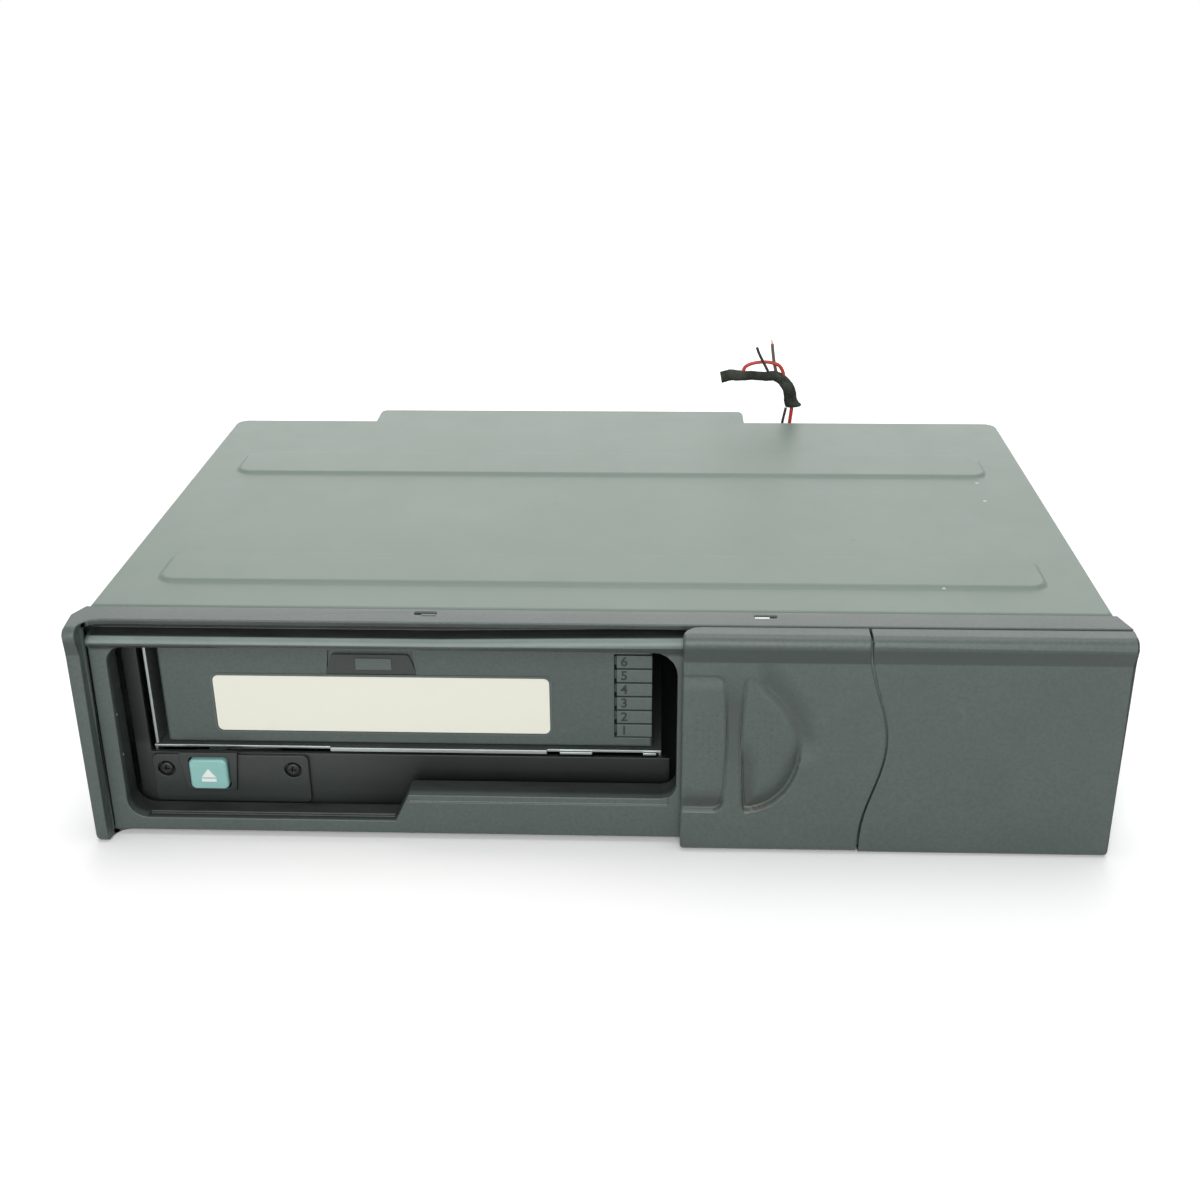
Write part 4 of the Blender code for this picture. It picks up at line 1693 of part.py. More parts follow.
def main():
    clear_scene()
    steel = make_material("painted_steel", (0.34, 0.38, 0.35), 0.45, 0.2)
    zinc = make_material("zinc_steel", (0.55, 0.57, 0.56), 0.35, 0.9)
    slate = make_material("slate_plastic", (0.10, 0.12, 0.115), 0.5)
    dark = make_material("dark_plastic", (0.03, 0.035, 0.033), 0.5)
    teal = make_material("teal_plastic", (0.17, 0.40, 0.40), 0.4)
    tray_plastic = make_material("tray_plastic", (0.12, 0.14, 0.135), 0.5)
    rubber = make_material("black_rubber", (0.02, 0.02, 0.02), 0.8)
    board_green = make_material("board_green", (0.03, 0.12, 0.05), 0.5)
    motor_steel = make_material("motor_steel", (0.5, 0.5, 0.5), 0.35, 0.9)
    brass = make_material("brass", (0.6, 0.45, 0.2), 0.35, 0.9)
    red = make_material("red_cable", (0.6, 0.05, 0.04), 0.5)
    black = make_material("black_cable", (0.02, 0.02, 0.02), 0.5)
    tape = make_material("cloth_tape", (0.04, 0.045, 0.03), 0.9)

    make_top_cover(steel)
    make_chassis(zinc)
    make_rear_cap(steel)
    make_bezel(slate)
    make_right_cover(slate)
    make_grip_leaf(slate)
    make_inner_leaf(slate)
    make_sill(dark)
    make_eject_cover(dark)
    make_button(teal)
    make_screw("eject_cover_screw_left", LEFT_SCREW_X, zinc)
    make_screw("eject_cover_screw_right", RIGHT_SCREW_X, zinc)
    magazine = make_magazine(slate)
    trays = [make_tray(index, tray_plastic) for index in range(TRAY_COUNT)]
    carry(magazine, *trays)
    make_floor_plate(zinc)
    make_magazine_guide(zinc)
    make_latch(zinc)
    make_ejector(dark)
    make_eject_spring(motor_steel)
    lift = make_lift_frame(zinc)
    make_post_plate("front_post_plate", FRONT_POST_Y, POST_PLATE_LEFT, zinc)
    make_post_plate("rear_post_plate", REAR_POST_Y, REAR_POST_LEFT, zinc, stud=True)
    make_cam("lift_cam_front", FRONT_CAM_Y, zinc)
    make_cam("lift_cam_rear", REAR_CAM_Y, zinc, rack=True)
    gear_start = -90 + 180 / GEAR_TEETH
    make_gear("lift_gear", (GEAR_X, GEAR_Z), GEAR_TEETH, gear_start, STUD_RADIUS + STUD_PLAY, tray_plastic)
    make_gear("motor_pinion", pinion_centre(), PINION_TEETH, -90, LIFT_SHAFT_RADIUS + STUD_PLAY, brass)
    make_lift_motor(motor_steel)
    deck = make_deck(dark)
    sides = (DECK_LEFT + DAMPER_INSET, DECK_RIGHT - DAMPER_INSET)
    places = [(x, y) for y in (DECK_FRONT + DAMPER_INSET, DECK_REAR - DAMPER_INSET) for x in sides]
    dampers = [make_damper(number, x, y, rubber) for number, (x, y) in enumerate(places, 1)]
    front_rod, rear_rod, _ = axis_places()
    riders = [
        make_spindle_motor(motor_steel), make_turntable(dark), make_rod("sled_rod_front", front_rod, motor_steel),
        make_rod("sled_rod_rear", rear_rod, motor_steel), make_sled(dark), make_lead_screw(brass),
        make_sled_motor(motor_steel), make_drive_screw(brass), make_drive_motor(motor_steel),
        make_slider(tray_plastic),
    ]
    carry(lift, deck, *dampers, *riders)
    make_board(board_green)
    make_cable_entry(rubber)
    make_cord("harness_red_wire", RED_ROUTE_MM, RED_WIRE, red)
    make_cord("harness_black_wire", BLACK_ROUTE_MM, BLACK_WIRE, black)
    make_cord("harness_taped_bundle", BUNDLE_ROUTE_MM, TAPED_BUNDLE, tape)


if __name__ == "__main__":
    main()
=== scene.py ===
"""Car disc changer: its finished pieces, their materials, the camera, the floor and the light."""

import json
import math

import bmesh
import bpy
from bpy.props import FloatProperty, FloatVectorProperty, IntProperty, PointerProperty
from bpy.types import Operator, Panel, PropertyGroup
from mathutils import Matrix, Vector


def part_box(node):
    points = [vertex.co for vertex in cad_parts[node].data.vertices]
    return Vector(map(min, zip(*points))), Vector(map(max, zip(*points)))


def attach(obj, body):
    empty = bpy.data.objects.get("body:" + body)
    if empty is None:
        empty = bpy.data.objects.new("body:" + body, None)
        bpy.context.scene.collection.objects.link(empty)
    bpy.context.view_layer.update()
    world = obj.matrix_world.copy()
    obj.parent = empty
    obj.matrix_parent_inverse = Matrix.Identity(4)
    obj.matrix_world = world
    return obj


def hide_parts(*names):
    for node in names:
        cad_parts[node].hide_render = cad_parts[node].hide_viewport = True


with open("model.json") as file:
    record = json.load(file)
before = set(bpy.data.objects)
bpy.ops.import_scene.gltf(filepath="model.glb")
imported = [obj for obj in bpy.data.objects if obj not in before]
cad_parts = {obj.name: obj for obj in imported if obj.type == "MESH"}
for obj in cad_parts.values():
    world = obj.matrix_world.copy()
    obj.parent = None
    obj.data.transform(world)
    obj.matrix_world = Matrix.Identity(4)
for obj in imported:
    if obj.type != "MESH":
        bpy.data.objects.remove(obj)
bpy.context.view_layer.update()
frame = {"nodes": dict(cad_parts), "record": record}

bl_info = {
    "name": "Car Disc Changer",
    "version": (1, 0, 0),
    "blender": (4, 5, 0),
    "location": "View3D > Sidebar > Disc Changer",
    "description": "Builds the finished pieces of a car disc changer round its solids",
    "category": "Object",
}

MM = 0.001
EVEN = (1, 1, 1)
FACING_FRONT = Matrix.Rotation(math.radians(90), 4, "X")
ROUND_PROFILE = 0.5
HALF_GRID = 0.5
PLATE_CORNER_STEPS = 6
NUMERAL_WELD = 0.001 * MM

# Places that the solids share
FASCIA_FRONT = -88.5 * MM
COVER_TOP = 61.6 * MM
GRIP_LEFT = 21.7 * MM
GRIP_RIGHT = 66.6 * MM
WRAP_REAR = -82.3 * MM
GRIP_TOP = 61.3 * MM
BOW_DEPTH = 5.4 * MM
BOW_CENTRE = 32 * MM
BOW_HALF_HEIGHT = 27.5 * MM
CREASE_Z = 54 * MM
LOW_CREASE_Z = 8.4 * MM
CREASE_DEPTH = 1.4 * MM
SOLID_CREASE_DEPTH = 0.5 * MM
CREST_Z = 58.8 * MM
FRONT_SURFACE = 0.8 * MM
COLLAR_REAR = -76.0 * MM
COLLAR_REAR_SIDE = 128.0 * MM
RAIL_REACH = (-84.6 * MM, -78.3 * MM)
RAIL_FACE = -83.9 * MM
RAIL_SINK = 1.0 * MM
RAIL_CREST_Z = 56.9 * MM
RAIL_TOP = 58.9 * MM
RAIL_DROP = 1.3 * MM
GUIDE_WALL = -113.2 * MM
GUIDE_SHIFT = 2.2 * MM
MAGAZINE_FACE = -72 * MM
TRAY_LOW = 24.15 * MM
TRAY_PITCH = 4 * MM
TRAY_COUNT = 6
BUTTON_X = -101.8 * MM
BUTTON_Z = 14.0 * MM
BUTTON_FRONT = -77.2 * MM

# Sliding door's section, and the thin shell that forms its face
TOE_RADIUS = 2.0 * MM
NOSE_RADIUS = 2.5 * MM
GRIP_BOTTOM = 0.3 * MM
GRIP_CORNER = 4.2 * MM
ARC_STEPS = 7
RELIEF_STEP = 0.40 * MM
SKIN_THICKNESS = 0.7 * MM
SKIN_FLANGE = 1.8 * MM
FLANGE_REAR = -86.0 * MM
RETURN_START = -86.2 * MM
RETURN_TUCK = 0.8 * MM
LEFT_ROUNDING = 0.8 * MM
RIGHT_ROUNDING = 0.25 * MM
ROUNDING_SHARES = [(0, 1), (0.076, 0.617), (0.293, 0.293), (0.617, 0.076), (1, 0)]
FINE_SPAN = (31 * MM, 39 * MM)
FINE_SHARE = 0.5
BEND_START = 57 * MM
APRON_SPANS = [(60.6 * MM, 128.0 * MM), (-86.7 * MM, -86.0 * MM), (1.6 * MM, 59.8 * MM)]
RISER_SPANS = [(25.7 * MM, 62.6 * MM), (-83.0 * MM, -82.3 * MM), (59.2 * MM, 61.0 * MM)]
TONGUE_SPANS = [(25.7 * MM, 62.6 * MM), (-82.4 * MM, -79.0 * MM), (59.2 * MM, 59.7 * MM)]
SHEET_ROUNDING = 0.12 * MM

# Finger recesses on the door
PAD_RIGHT = 32.8 * MM
PAD_BEND = 0.8 * MM
PAD_MIDDLE = 31.2 * MM
PAD_HALF_HEIGHT = 19.1 * MM
PAD_CORNER = 2.2 * MM
PAD_LEVEL = 0.15 * MM
PAD_DIVE = 1.35 * MM
PAD_TOP_DIP = 0.45 * MM
PAD_TOP_SPAN = (46 * MM, 50.3 * MM)
PAD_DIVE_SPAN = (12.7 * MM, 19 * MM)
MOON_LEFT = 36.5 * MM
MOON_BEND = 1.0 * MM
MOON_WIDTH = 15.1 * MM
MOON_MIDDLE = 31.3 * MM
MOON_HALF_HEIGHT = 19.2 * MM
MOON_HIGH_POWER = 1.6
MOON_LOW_POWER = 2.2
MOON_TURN_SPAN = (24 * MM, 34 * MM)
MOON_SIDE_SPAN = (39 * MM, 43 * MM)
MOON_GROOVE = 1.1 * MM
MOON_OUTSIDE = 6.0 * MM
MOON_INSIDE = 2.5 * MM
MOON_DIVE = 1.5 * MM
MOON_DIVE_WIDTH = 5.0 * MM
BAR_RECESS = 1.2 * MM
BAR_HIGH_SPAN = (38 * MM, 53 * MM)
BAR_LOW_SPAN = (10 * MM, 36 * MM)
LINE_DEPTH = 0.6 * MM
LINE_WIDTH = 0.36 * MM
LIP_WIDTH = 0.35 * MM
RELIEF_SPAN = (9.5 * MM, 53.5 * MM)
PIP_RADIUS = 0.24 * MM
PIP_FLATNESS = 0.6
PIP_FIELDS = [
    ((25.3 * MM, 30.3 * MM), (27.2 * MM, 39.4 * MM), 4, 7),
    ((39.0 * MM, 45.4 * MM), (26.7 * MM, 40.2 * MM), 5, 7),
]
PAD_DIRT = (27.0 * MM, FASCIA_FRONT, 14.6 * MM)
MOON_DIRT = (40.6 * MM, FASCIA_FRONT, 14.2 * MM)

# Magazine's label, thumb rest and numerals
LABEL_SPANS = [(-99.2 * MM, -12.1 * MM), (24.8 * MM, 40.9 * MM)]
LABEL_CORNER = 1.5 * MM
LABEL_THICKNESS = 0.12 * MM
LABEL_RIM = 0.7 * MM
RIM_HEIGHT = 0.2 * MM
THUMB_CORNERS = [(-69.6, 41.9), (-46.0, 41.9), (-47.9, 47.4), (-67.7, 47.4)]
THUMB_CORNER_RADIUS = 0.8 * MM
THUMB_TAB_SPANS = [(-61.6 * MM, -52.4 * MM), (43.2 * MM, 46.4 * MM)]
DIGIT_HEIGHT = 2.5 * MM
NUMERAL_SHARE = 0.69
NUMERAL_DEPTH = 0.12 * MM
NUMERAL_WEIGHT = 0.07 * MM
NUMERAL_X = 7.1 * MM
CELL_LINE = 0.18 * MM

# Eject sign, and the small screws
SIGN_WIDTH = 3.9 * MM
SIGN_BAR = (12.0 * MM, 12.9 * MM)
SIGN_ARROW = (13.3 * MM, 15.8 * MM)
SIGN_THICKNESS = 0.1 * MM
COVER_SCREWS = ("eject_cover_screw_left", "eject_cover_screw_right")
SCREW_SIDES = 24
SCREW_HEAD = 1.8 * MM
SCREW_DOME = 0.3 * MM
SCREW_HEAD_HEIGHT = 1.0 * MM
SCREW_SHANK = 0.85 * MM
CROSS_REACH = 1.05 * MM
CROSS_HALF = 0.24 * MM
CROSS_DEPTH = 0.9 * MM
CROSS_TAPER = 0.35

# Marks on the surfaces, and the places where shade and a highlight are painted on
PALE = (0.72, 0.76, 0.74)
COVER_STAINS = [
    ((-14.4 * MM, -2.7 * MM, COVER_TOP), 0.9 * MM), ((68.9 * MM, -28.0 * MM, COVER_TOP), 1.0 * MM),
    ((40.1 * MM, 83.5 * MM, 60.4 * MM), 1.5 * MM),
]
COVER_CHIPS = [
    (110.1 * MM, 28.2 * MM, COVER_TOP), (111.0 * MM, 16.9 * MM, COVER_TOP), (110.5 * MM, 2.1 * MM, COVER_TOP),
    (53.3 * MM, -56.8 * MM, COVER_TOP), (88.3 * MM, -59.7 * MM, COVER_TOP),
]
CHIP_REACH = 0.45 * MM
PLASTIC_CHIPS = [(-121.6 * MM, -82.0 * MM, 34.6 * MM), (-121.6 * MM, -82.0 * MM, 22.9 * MM)]
# Painted shade in the window: the slot under the collar, the band under the rail and the inside
SLOT_DEPTHS = (-83.5 * MM, -82.8 * MM)
SLOT_LOW = (57.0 * MM, 57.4 * MM)
# Where a highlight is painted on the window rail's nose
RAIL_HIGHLIGHT_LOW = (55.9 * MM, 56.3 * MM)
RAIL_HIGHLIGHT_DEPTHS = (-82.8 * MM, -83.3 * MM)
SLOT_HIGH = (61.45 * MM, 60.9 * MM)
BAND_LOW = (53.2 * MM, 53.8 * MM)
BAND_HIGH = (56.3 * MM, 55.8 * MM)
BAND_DEPTHS = (-82.6 * MM, -83.0 * MM)
INSIDE_DEPTHS = (-83.0 * MM, -81.0 * MM)
INSIDE_LEFT = (-125.5 * MM, -124.5 * MM)
INSIDE_RIGHT = (24.0 * MM, 21.7 * MM)
INSIDE_HIGH = (57.0 * MM, 56.0 * MM)
INSIDE_TOP = (58.6 * MM, 58.0 * MM)
# Colour of the painted shade in the window and on the guide
PAINTED_SHADE = (0.006, 0.006, 0.005)
# Past this span along X the guide is darkened with painted shade
GUIDE_SHADE = (-12.0 * MM, -10.5 * MM)
# Painted shade on the bay's sill, high up and towards the right
SILL_HIGH_SHADE = (20.5 * MM, 23.5 * MM)
SILL_RIGHT_SHADE = (-72 * MM, -45 * MM)
# Band of painted shade under the nose, above the crease
BROW_EDGE = 0.25 * MM
BROW_FADE = 1.2 * MM
BROW_LOW = (CREASE_Z - BROW_EDGE, CREASE_Z + BROW_EDGE)
BROW_HIGH = (CREST_Z + BROW_EDGE, CREST_Z - BROW_FADE)
BROW_DEPTHS = (FASCIA_FRONT + CREASE_DEPTH + BROW_EDGE, FASCIA_FRONT + CREASE_DEPTH)
BROW_SHADE_SHARE = 0.75
BOARD_CHIP_HEIGHTS = (6.9 * MM, 7.0 * MM)
DIRT_REACH = 5.2 * MM
DIRT_WEIGHTS = (0.85, 0.3, 1.7)
DIRT_COLOUR = (0.062, 0.056, 0.045)

# Patterns in the finishes: features per metre, detail, weight of the fine detail, and stretch
PAINT_CLOUD = (22, 4.0, 0.6)
PAINT_GRAIN = (2600, 2.0, 0.5)
PLASTIC_GRAIN = (3800, 2.0, 0.6)
PLASTIC_CLOUD = (35, 4.0, 0.6)
PLASTIC_SPECKLE = (1150, 3.0, 0.65)
PLASTIC_DUST = (140, 5.0, 0.7)
# Streaks that thin the painted shade and the painted highlight in the window
PAINTED_LIGHT_STREAKS = (260, 5.0, 0.7, (0.25, 1.0, 1.0))
DIRT_PATCHES = (420, 5.0, 0.7)
BRUSHED_GRAIN = (900, 2.0, 0.5, (1.0, 0.08, 1.0))
PLATING_CLOUD = (60, 4.0, 0.6)
RUBBER_BLOOM = (160, 4.0, 0.65)
BOARD_TRACKS = (210, "DISTANCE_TO_EDGE", (1.0, 0.35, 1.0))
PAPER_FIBRES = (1500, 4.0, 0.7, (1.0, 1.0, 3.0))
PAPER_RUBS = (55, 5.0, 0.65)
INK_WEAR = (2600, 3.0, 0.6)
WIRE_SCUFFS = (700, 3.0, 0.6)
TAPE_WEAVE = (2400, 2.0, 0.6)
TAPE_LINT = (900, 4.0, 0.75)
TAPE_CLOUD = (260, 4.0, 0.65)
CLOUD_SPAN = (0.3, 0.75)
CHIP_CORE_SHARE = 0.4

# Heights of the bump in the finishes
PAINT_BUMP = 0.02 * MM
PLASTIC_BUMP = 0.03 * MM
METAL_BUMP = 0.01 * MM
RUBBER_BUMP = 0.03 * MM
BOARD_BUMP = 0.04 * MM
PAPER_BUMP = 0.02 * MM
TAPE_BUMP = 0.12 * MM

# Snap tabs in the collar's two slots
TAB_INNER = 39.3 * MM
TAB_OUTER = 42.9 * MM
SLOT_MARGIN = 1.5 * MM
TAB_FRONT = -78.4 * MM
TAB_REAR = -77.5 * MM
TAB_PROUD = 0.12 * MM
TAB_HEIGHT = 0.3 * MM
SNAP_TABS = [("snap_tab_left", -1, "slate_plastic"), ("snap_tab_right", 1, "pale_plastic")]

# Softened edges of the solids
WELD = 0.005 * MM
FLAT_DEGREES = 0.6
EDGE_DEGREES = 27
EDGE_SEGMENTS = 2
PRESSED_EDGE = 0.5 * MM
PRESSED_SEGMENTS = 3
MOULDED_EDGE = 0.3 * MM
SHEET_EDGE = 0.18 * MM
SCREW_EDGE = 0.06 * MM
SHADING_WEIGHT = 80

# Camera, as it stood for the photograph
CAMERA_PLACE = Vector((15.126, -411.083, 222.478)) * MM
CAMERA_DOWN_DEGREES = 25.123
CAMERA_YAW_DEGREES = -2.367
CAMERA_ROLL_DEGREES = -0.463
CAMERA_LENS = 45.152
SENSOR_WIDTH = 36.0
CLIP_NEAR = 0.01
CLIP_FAR = 50.0

# Floor and lights
FLOOR_SIZE = 3.4
FLOOR_NEAR_WHITE = 1.16
FLOOR_FAR_WHITE = 3.5
FLOOR_NEAR = 0.22
FLOOR_FAR = 1.1
FLOOR_BOUNCE = 0.40
FLOOR_ROUGHNESS = 0.9
FLOOR_PATTERN = (9, 2.0)
FLOOR_UNEVENNESS = 0.01
WORLD_LIGHT = 0.34
TARGET = (0.0, 0.0, 0.03)
LAMPS = [
    ("top_lamp", (0.05, 0.10, 1.35), 0.9, 6.5),
    ("front_lamp", (-0.10, -1.30, 0.62), 0.9, 12.5),
    ("rear_lamp", (0.02, 0.95, 0.52), 1.2, 5.5),
]

# Harness routes, the same points as the solids follow
RED_DIAMETER = 1.25 * MM
BLACK_DIAMETER = 0.9 * MM
BUNDLE_DIAMETER = 4.8 * MM
RED_ROUTE_MM = [
    (59.8, 74.4, 34.9), (59.9, 76.2, 35.6), (60.1, 78.4, 38.0), (60.2, 79.6, 43.0),
    (60.0, 80.2, 50.0), (59.7, 80.2, 57.0), (60.3, 80.0, 64.6),
]
BLACK_ROUTE_MM = [
    (57.4, 74.4, 34.9), (57.3, 76.2, 35.8), (57.2, 78.4, 38.4), (57.0, 79.6, 44.0),
    (57.1, 80.1, 51.0), (57.2, 80.1, 58.0), (58.3, 80.0, 64.6),
]
BUNDLE_ROUTE_MM = [
    (60.1, 80.0, 65.3), (59.9, 80.0, 67.6), (59.2, 80.0, 70.6), (57.5, 80.0, 73.6),
    (54.6, 80.0, 75.3), (51.0, 80.0, 75.6), (47.0, 80.0, 75.8), (43.0, 80.0, 75.9),
    (39.2, 80.0, 75.7), (36.1, 80.0, 75.1),
]
STUB_ROUTES_MM = [
    ("harness_red_loop", "red_cable", 1.2, [
        (43.4, 80.0, 77.0), (44.3, 80.0, 78.9), (47.0, 80.0, 80.1), (50.7, 80.0, 80.5), (53.4, 80.0, 80.1),
        (55.4, 80.0, 79.3), (56.6, 80.0, 77.6), (57.2, 80.0, 75.6),
    ]),
    ("harness_cut_black", "black_cable", 0.95, [
        (52.4, 79.6, 76.0), (51.8, 79.5, 77.4), (50.2, 79.5, 80.4), (48.6, 79.5, 83.5), (47.8, 79.5, 85.6),
    ]),
    ("harness_cut_grey", "grey_cable", 1.1, [
        (55.2, 80.3, 75.6), (54.5, 80.3, 77.2), (53.7, 80.3, 80.6), (53.2, 80.3, 84.0), (52.9, 80.3, 86.6),
    ]),
    ("harness_cut_grey_core", "copper_wire", 0.6, [
        (52.95, 80.3, 86.2), (52.85, 80.3, 87.0), (52.7, 80.3, 87.9),
    ]),
]
BUNDLE_SHARES = [0.88, 0.90, 0.80, 0.70, 0.62, 0.66, 0.78, 0.80]
BUNDLE_LUMP = 0.13
LUMP_LENGTH_SHARE = 0.05
LUMP_RISE = 1.3 * MM
LUMPS_ROUND = 7
LUMPS_ALONG = 19
TAPE_STEP_SHARE = 0.07
TAPE_TURNS = 9
ROUTE_STEPS = 10
TUBE_SIDES = 14
STUB_SIDES = 10
BUNDLE_SIDES = 28
STUB_SLOTS = {"red_cable": "red_cable", "black_cable": "black_cable", "grey_cable": "black_cable",
              "copper_wire": "red_cable"}


def length_setting(name, description, length):
    """A length that a user may change."""
    return FloatProperty(name=name, description=description, default=length, unit="LENGTH")


def colour_setting(name, description, colour):
    """A colour that a user may change."""
    return FloatVectorProperty(name=name, description=description, subtype="COLOR", default=colour)


class ChangerSizes(PropertyGroup):
    """Sizes of the finishing detail that a user may change."""

    edge: length_setting("Moulded edge", "Rounding along the edges of moulded pieces", MOULDED_EDGE)
    sheet_edge: length_setting("Sheet edge", "Rounding along the edges of bent sheet pieces", SHEET_EDGE)
    digit_height: length_setting("Digit height", "Height of the numbers on the disc trays", DIGIT_HEIGHT)
    pad_dive: length_setting("Recess depth", "Depth of the finger recess at its lower end", PAD_DIVE)
    relief_step: length_setting("Relief step", "Spacing of the grid that forms the door's face", RELIEF_STEP)
    tape_turns: IntProperty(
        name="Tape turns", description="Turns of cloth tape round the harness bundle", default=TAPE_TURNS,
    )


class ChangerColours(PropertyGroup):
    """Colours of the finishes."""

    steel: colour_setting("Painted steel", "Paint of the cover and the rear cap", (0.158, 0.209, 0.174))
    fascia: colour_setting("Fascia", "Moulded plastic of the front", (0.075, 0.097, 0.089))
    dark: colour_setting("Dark plastic", "Plastic inside the window", (0.026, 0.032, 0.030))
    tray: colour_setting("Magazine", "Plastic of the magazine's raised details", (0.092, 0.118, 0.107))
    button: colour_setting("Button", "Plastic of the eject button", (0.30, 0.58, 0.54))
    label: colour_setting("Label", "Paper of the magazine's label", (0.93, 0.93, 0.81))
    zinc: colour_setting("Zinc", "Plated sheet steel inside the changer", (0.36, 0.40, 0.39))


class Wire:
    """An output socket in a material, so that sums on it read as plain Python."""

    def __init__(self, finish, socket):
        self.finish = finish
        self.socket = socket

    def sum(self, operation, first, second):
        return self.finish.node("ShaderNodeMath", {"operation": operation}, {0: first, 1: second})

    def __add__(self, other):
        return self.sum("ADD", self, other)

    def __radd__(self, other):
        return self.sum("ADD", other, self)

    def __sub__(self, other):
        return self.sum("SUBTRACT", self, other)

    def __rsub__(self, other):
        return self.sum("SUBTRACT", other, self)

    def __mul__(self, other):
        return self.sum("MULTIPLY", self, other)


class Finish:
    """A material under construction, with the nodes that most finishes share."""

    def __init__(self, name, roughness=0.5, metallic=0.0, **fixed):
        self.material = bpy.data.materials.new(name)
        self.material.use_nodes = True
        self.nodes = self.material.node_tree.nodes
        self.links = self.material.node_tree.links
        self.shader = self.nodes["Principled BSDF"]
        self.set("Roughness", roughness)
        self.set("Metallic", metallic)
        for key, value in fixed.items():
            self.set(key.replace("_", " "), value)
        self.place = self.node("ShaderNodeTexCoord", {}, {}, "Object")

    def node(self, kind, settings, values, output=0):
        """Adds a node: its settings first, then the values or links of its sockets."""
        made = self.nodes.new(kind)
        for key, value in settings.items():
            setattr(made, key, value)
        for key, value in values.items():
            self.feed(made.inputs[key], value)
        return Wire(self, made.outputs[output])

    def feed(self, socket, value):
        """Links a wire to a socket, or writes a plain value there."""
        if isinstance(value, Wire):
            self.links.new(value.socket, socket)
        elif hasattr(value, "__len__") and len(socket.default_value) == 4:
            socket.default_value = (*tuple(value)[:3], 1.0)
        else:
            socket.default_value = value

    def set(self, name, value):
        """Feeds one of the shader's own sockets."""
        self.feed(self.shader.inputs[name], value)

    def stretched(self, stretch):
        """The place on the surface, with each axis scaled."""
        if stretch == EVEN:
            return self.place
        return self.node("ShaderNodeMapping", {}, {"Vector": self.place, "Scale": stretch})

    def noise(self, scale, detail=3.0, roughness=0.55, stretch=EVEN):
        """Smooth noise from 0 to 1; the scale counts features per metre."""
        where = self.stretched(stretch)
        values = {"Vector": where, "Scale": scale, "Detail": detail, "Roughness": roughness}
        return self.node("ShaderNodeTexNoise", {}, values)

    def cells(self, scale, feature="F1", stretch=EVEN):
        """Distance to the nearest of a field of scattered points."""
        where = self.stretched(stretch)
        return self.node("ShaderNodeTexVoronoi", {"feature": feature}, {"Vector": where, "Scale": scale})

    def fade(self, value, low, high):
        """A soft step from 0 at low to 1 at high; low may be the larger."""
        if low > high:
            return 1.0 - self.fade(value, high, low)
        settings = {"interpolation_type": "SMOOTHSTEP"}
        return self.node("ShaderNodeMapRange", settings, {"Value": value, "From Min": low, "From Max": high})

    def region(self, *bounds):
        """1 inside a region and 0 outside; each bound is a wire and the two places where it fades in."""
        wire, span = bounds[0]
        inside = self.fade(wire, *span)
        for wire, span in bounds[1:]:
            inside = inside * self.fade(wire, *span)
        return inside

    def mix(self, share, first, second):
        """A colour between two colours."""
        values = {"Factor": share, 6: first, 7: second}
        return self.node("ShaderNodeMix", {"data_type": "RGBA"}, values, 2)

    def axis(self, name):
        """One coordinate of the surface, in metres."""
        return self.node("ShaderNodeSeparateXYZ", {}, {"Vector": self.place}, name)

    def distance(self, point, weights=EVEN):
        """How far the surface is from a point, in metres, with each axis weighted."""
        shifted = self.node("ShaderNodeVectorMath", {"operation": "SUBTRACT"}, {0: self.place, 1: point})
        weighted = self.node("ShaderNodeVectorMath", {"operation": "MULTIPLY"}, {0: shifted, 1: weights})
        return self.node("ShaderNodeVectorMath", {"operation": "LENGTH"}, {0: weighted}, "Value")

    def bump(self, height, strength, distance):
        """Feeds the shader's normal with a height."""
        values = {"Height": height, "Strength": strength, "Distance": distance}
        self.set("Normal", self.node("ShaderNodeBump", {}, values))


def scaled(colour, factor):
    """A colour made lighter or darker."""
    return tuple(channel * factor for channel in colour)


def middle_of(node):
    """The middle of a CAD node's box."""
    low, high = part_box(node)
    return (Vector(low) + Vector(high)) / 2


def node_body(name):
    """The body that a CAD node rides on."""
    for body, members in frame["record"]["behaviour"]["bodies"].items():
        if name in members:
            return body
    raise ValueError(f"no body holds {name}")


def set_material(piece, material):
    """Gives a whole piece one material."""
    piece.data.materials.clear()
    piece.data.materials.append(material)


def linked(name, data):
    """A new object in the scene that holds some data."""
    made = bpy.data.objects.new(name, data)
    bpy.context.scene.collection.objects.link(made)
    return made


def linked_mesh(name, bm):
    """A new object in the scene with a bmesh's shape, which is used up."""
    mesh = bpy.data.meshes.new(name)
    bm.to_mesh(mesh)
    bm.free()
    return linked(name, mesh)


def add_piece(name, bm, look, body, node=None, slot=None, smooth=True):
    """A finished bmesh in one look, as a piece that rides on a body and may stand for a CAD node."""
    piece = linked_mesh(name, bm)
    set_material(piece, Looks.get(look))
    if smooth:
        polygons = piece.data.polygons
        polygons.foreach_set("use_smooth", [True] * len(polygons))
    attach(piece, body)
    if node:
        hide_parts(node)
    return piece


def record_slot(node):
    """The material slot that the record gives a node."""
    for row in frame["record"]["subparts"]:
        if row["node"] == node:
            return row["material_slot"]
    raise ValueError(f"the record has no node {node}")


def stand_in(node, bm, look=None):
    """A finished bmesh that stands for a CAD node, in a look or else in the finish that the record names."""
    slot = record_slot(node)
    return add_piece(f"{node}_finished", bm, look or slot, node_body(node), node, slot)


def welded(node):
    """A copy of a CAD node as a clean bmesh: doubles merged and flat faces joined."""
    bm = bmesh.new()
    bm.from_mesh(frame["nodes"][node].data)
    bmesh.ops.remove_doubles(bm, verts=bm.verts, dist=WELD)
    bmesh.ops.dissolve_limit(
        bm, angle_limit=math.radians(FLAT_DEGREES), verts=bm.verts, edges=bm.edges,
        use_dissolve_boundaries=False,
    )
    return bm


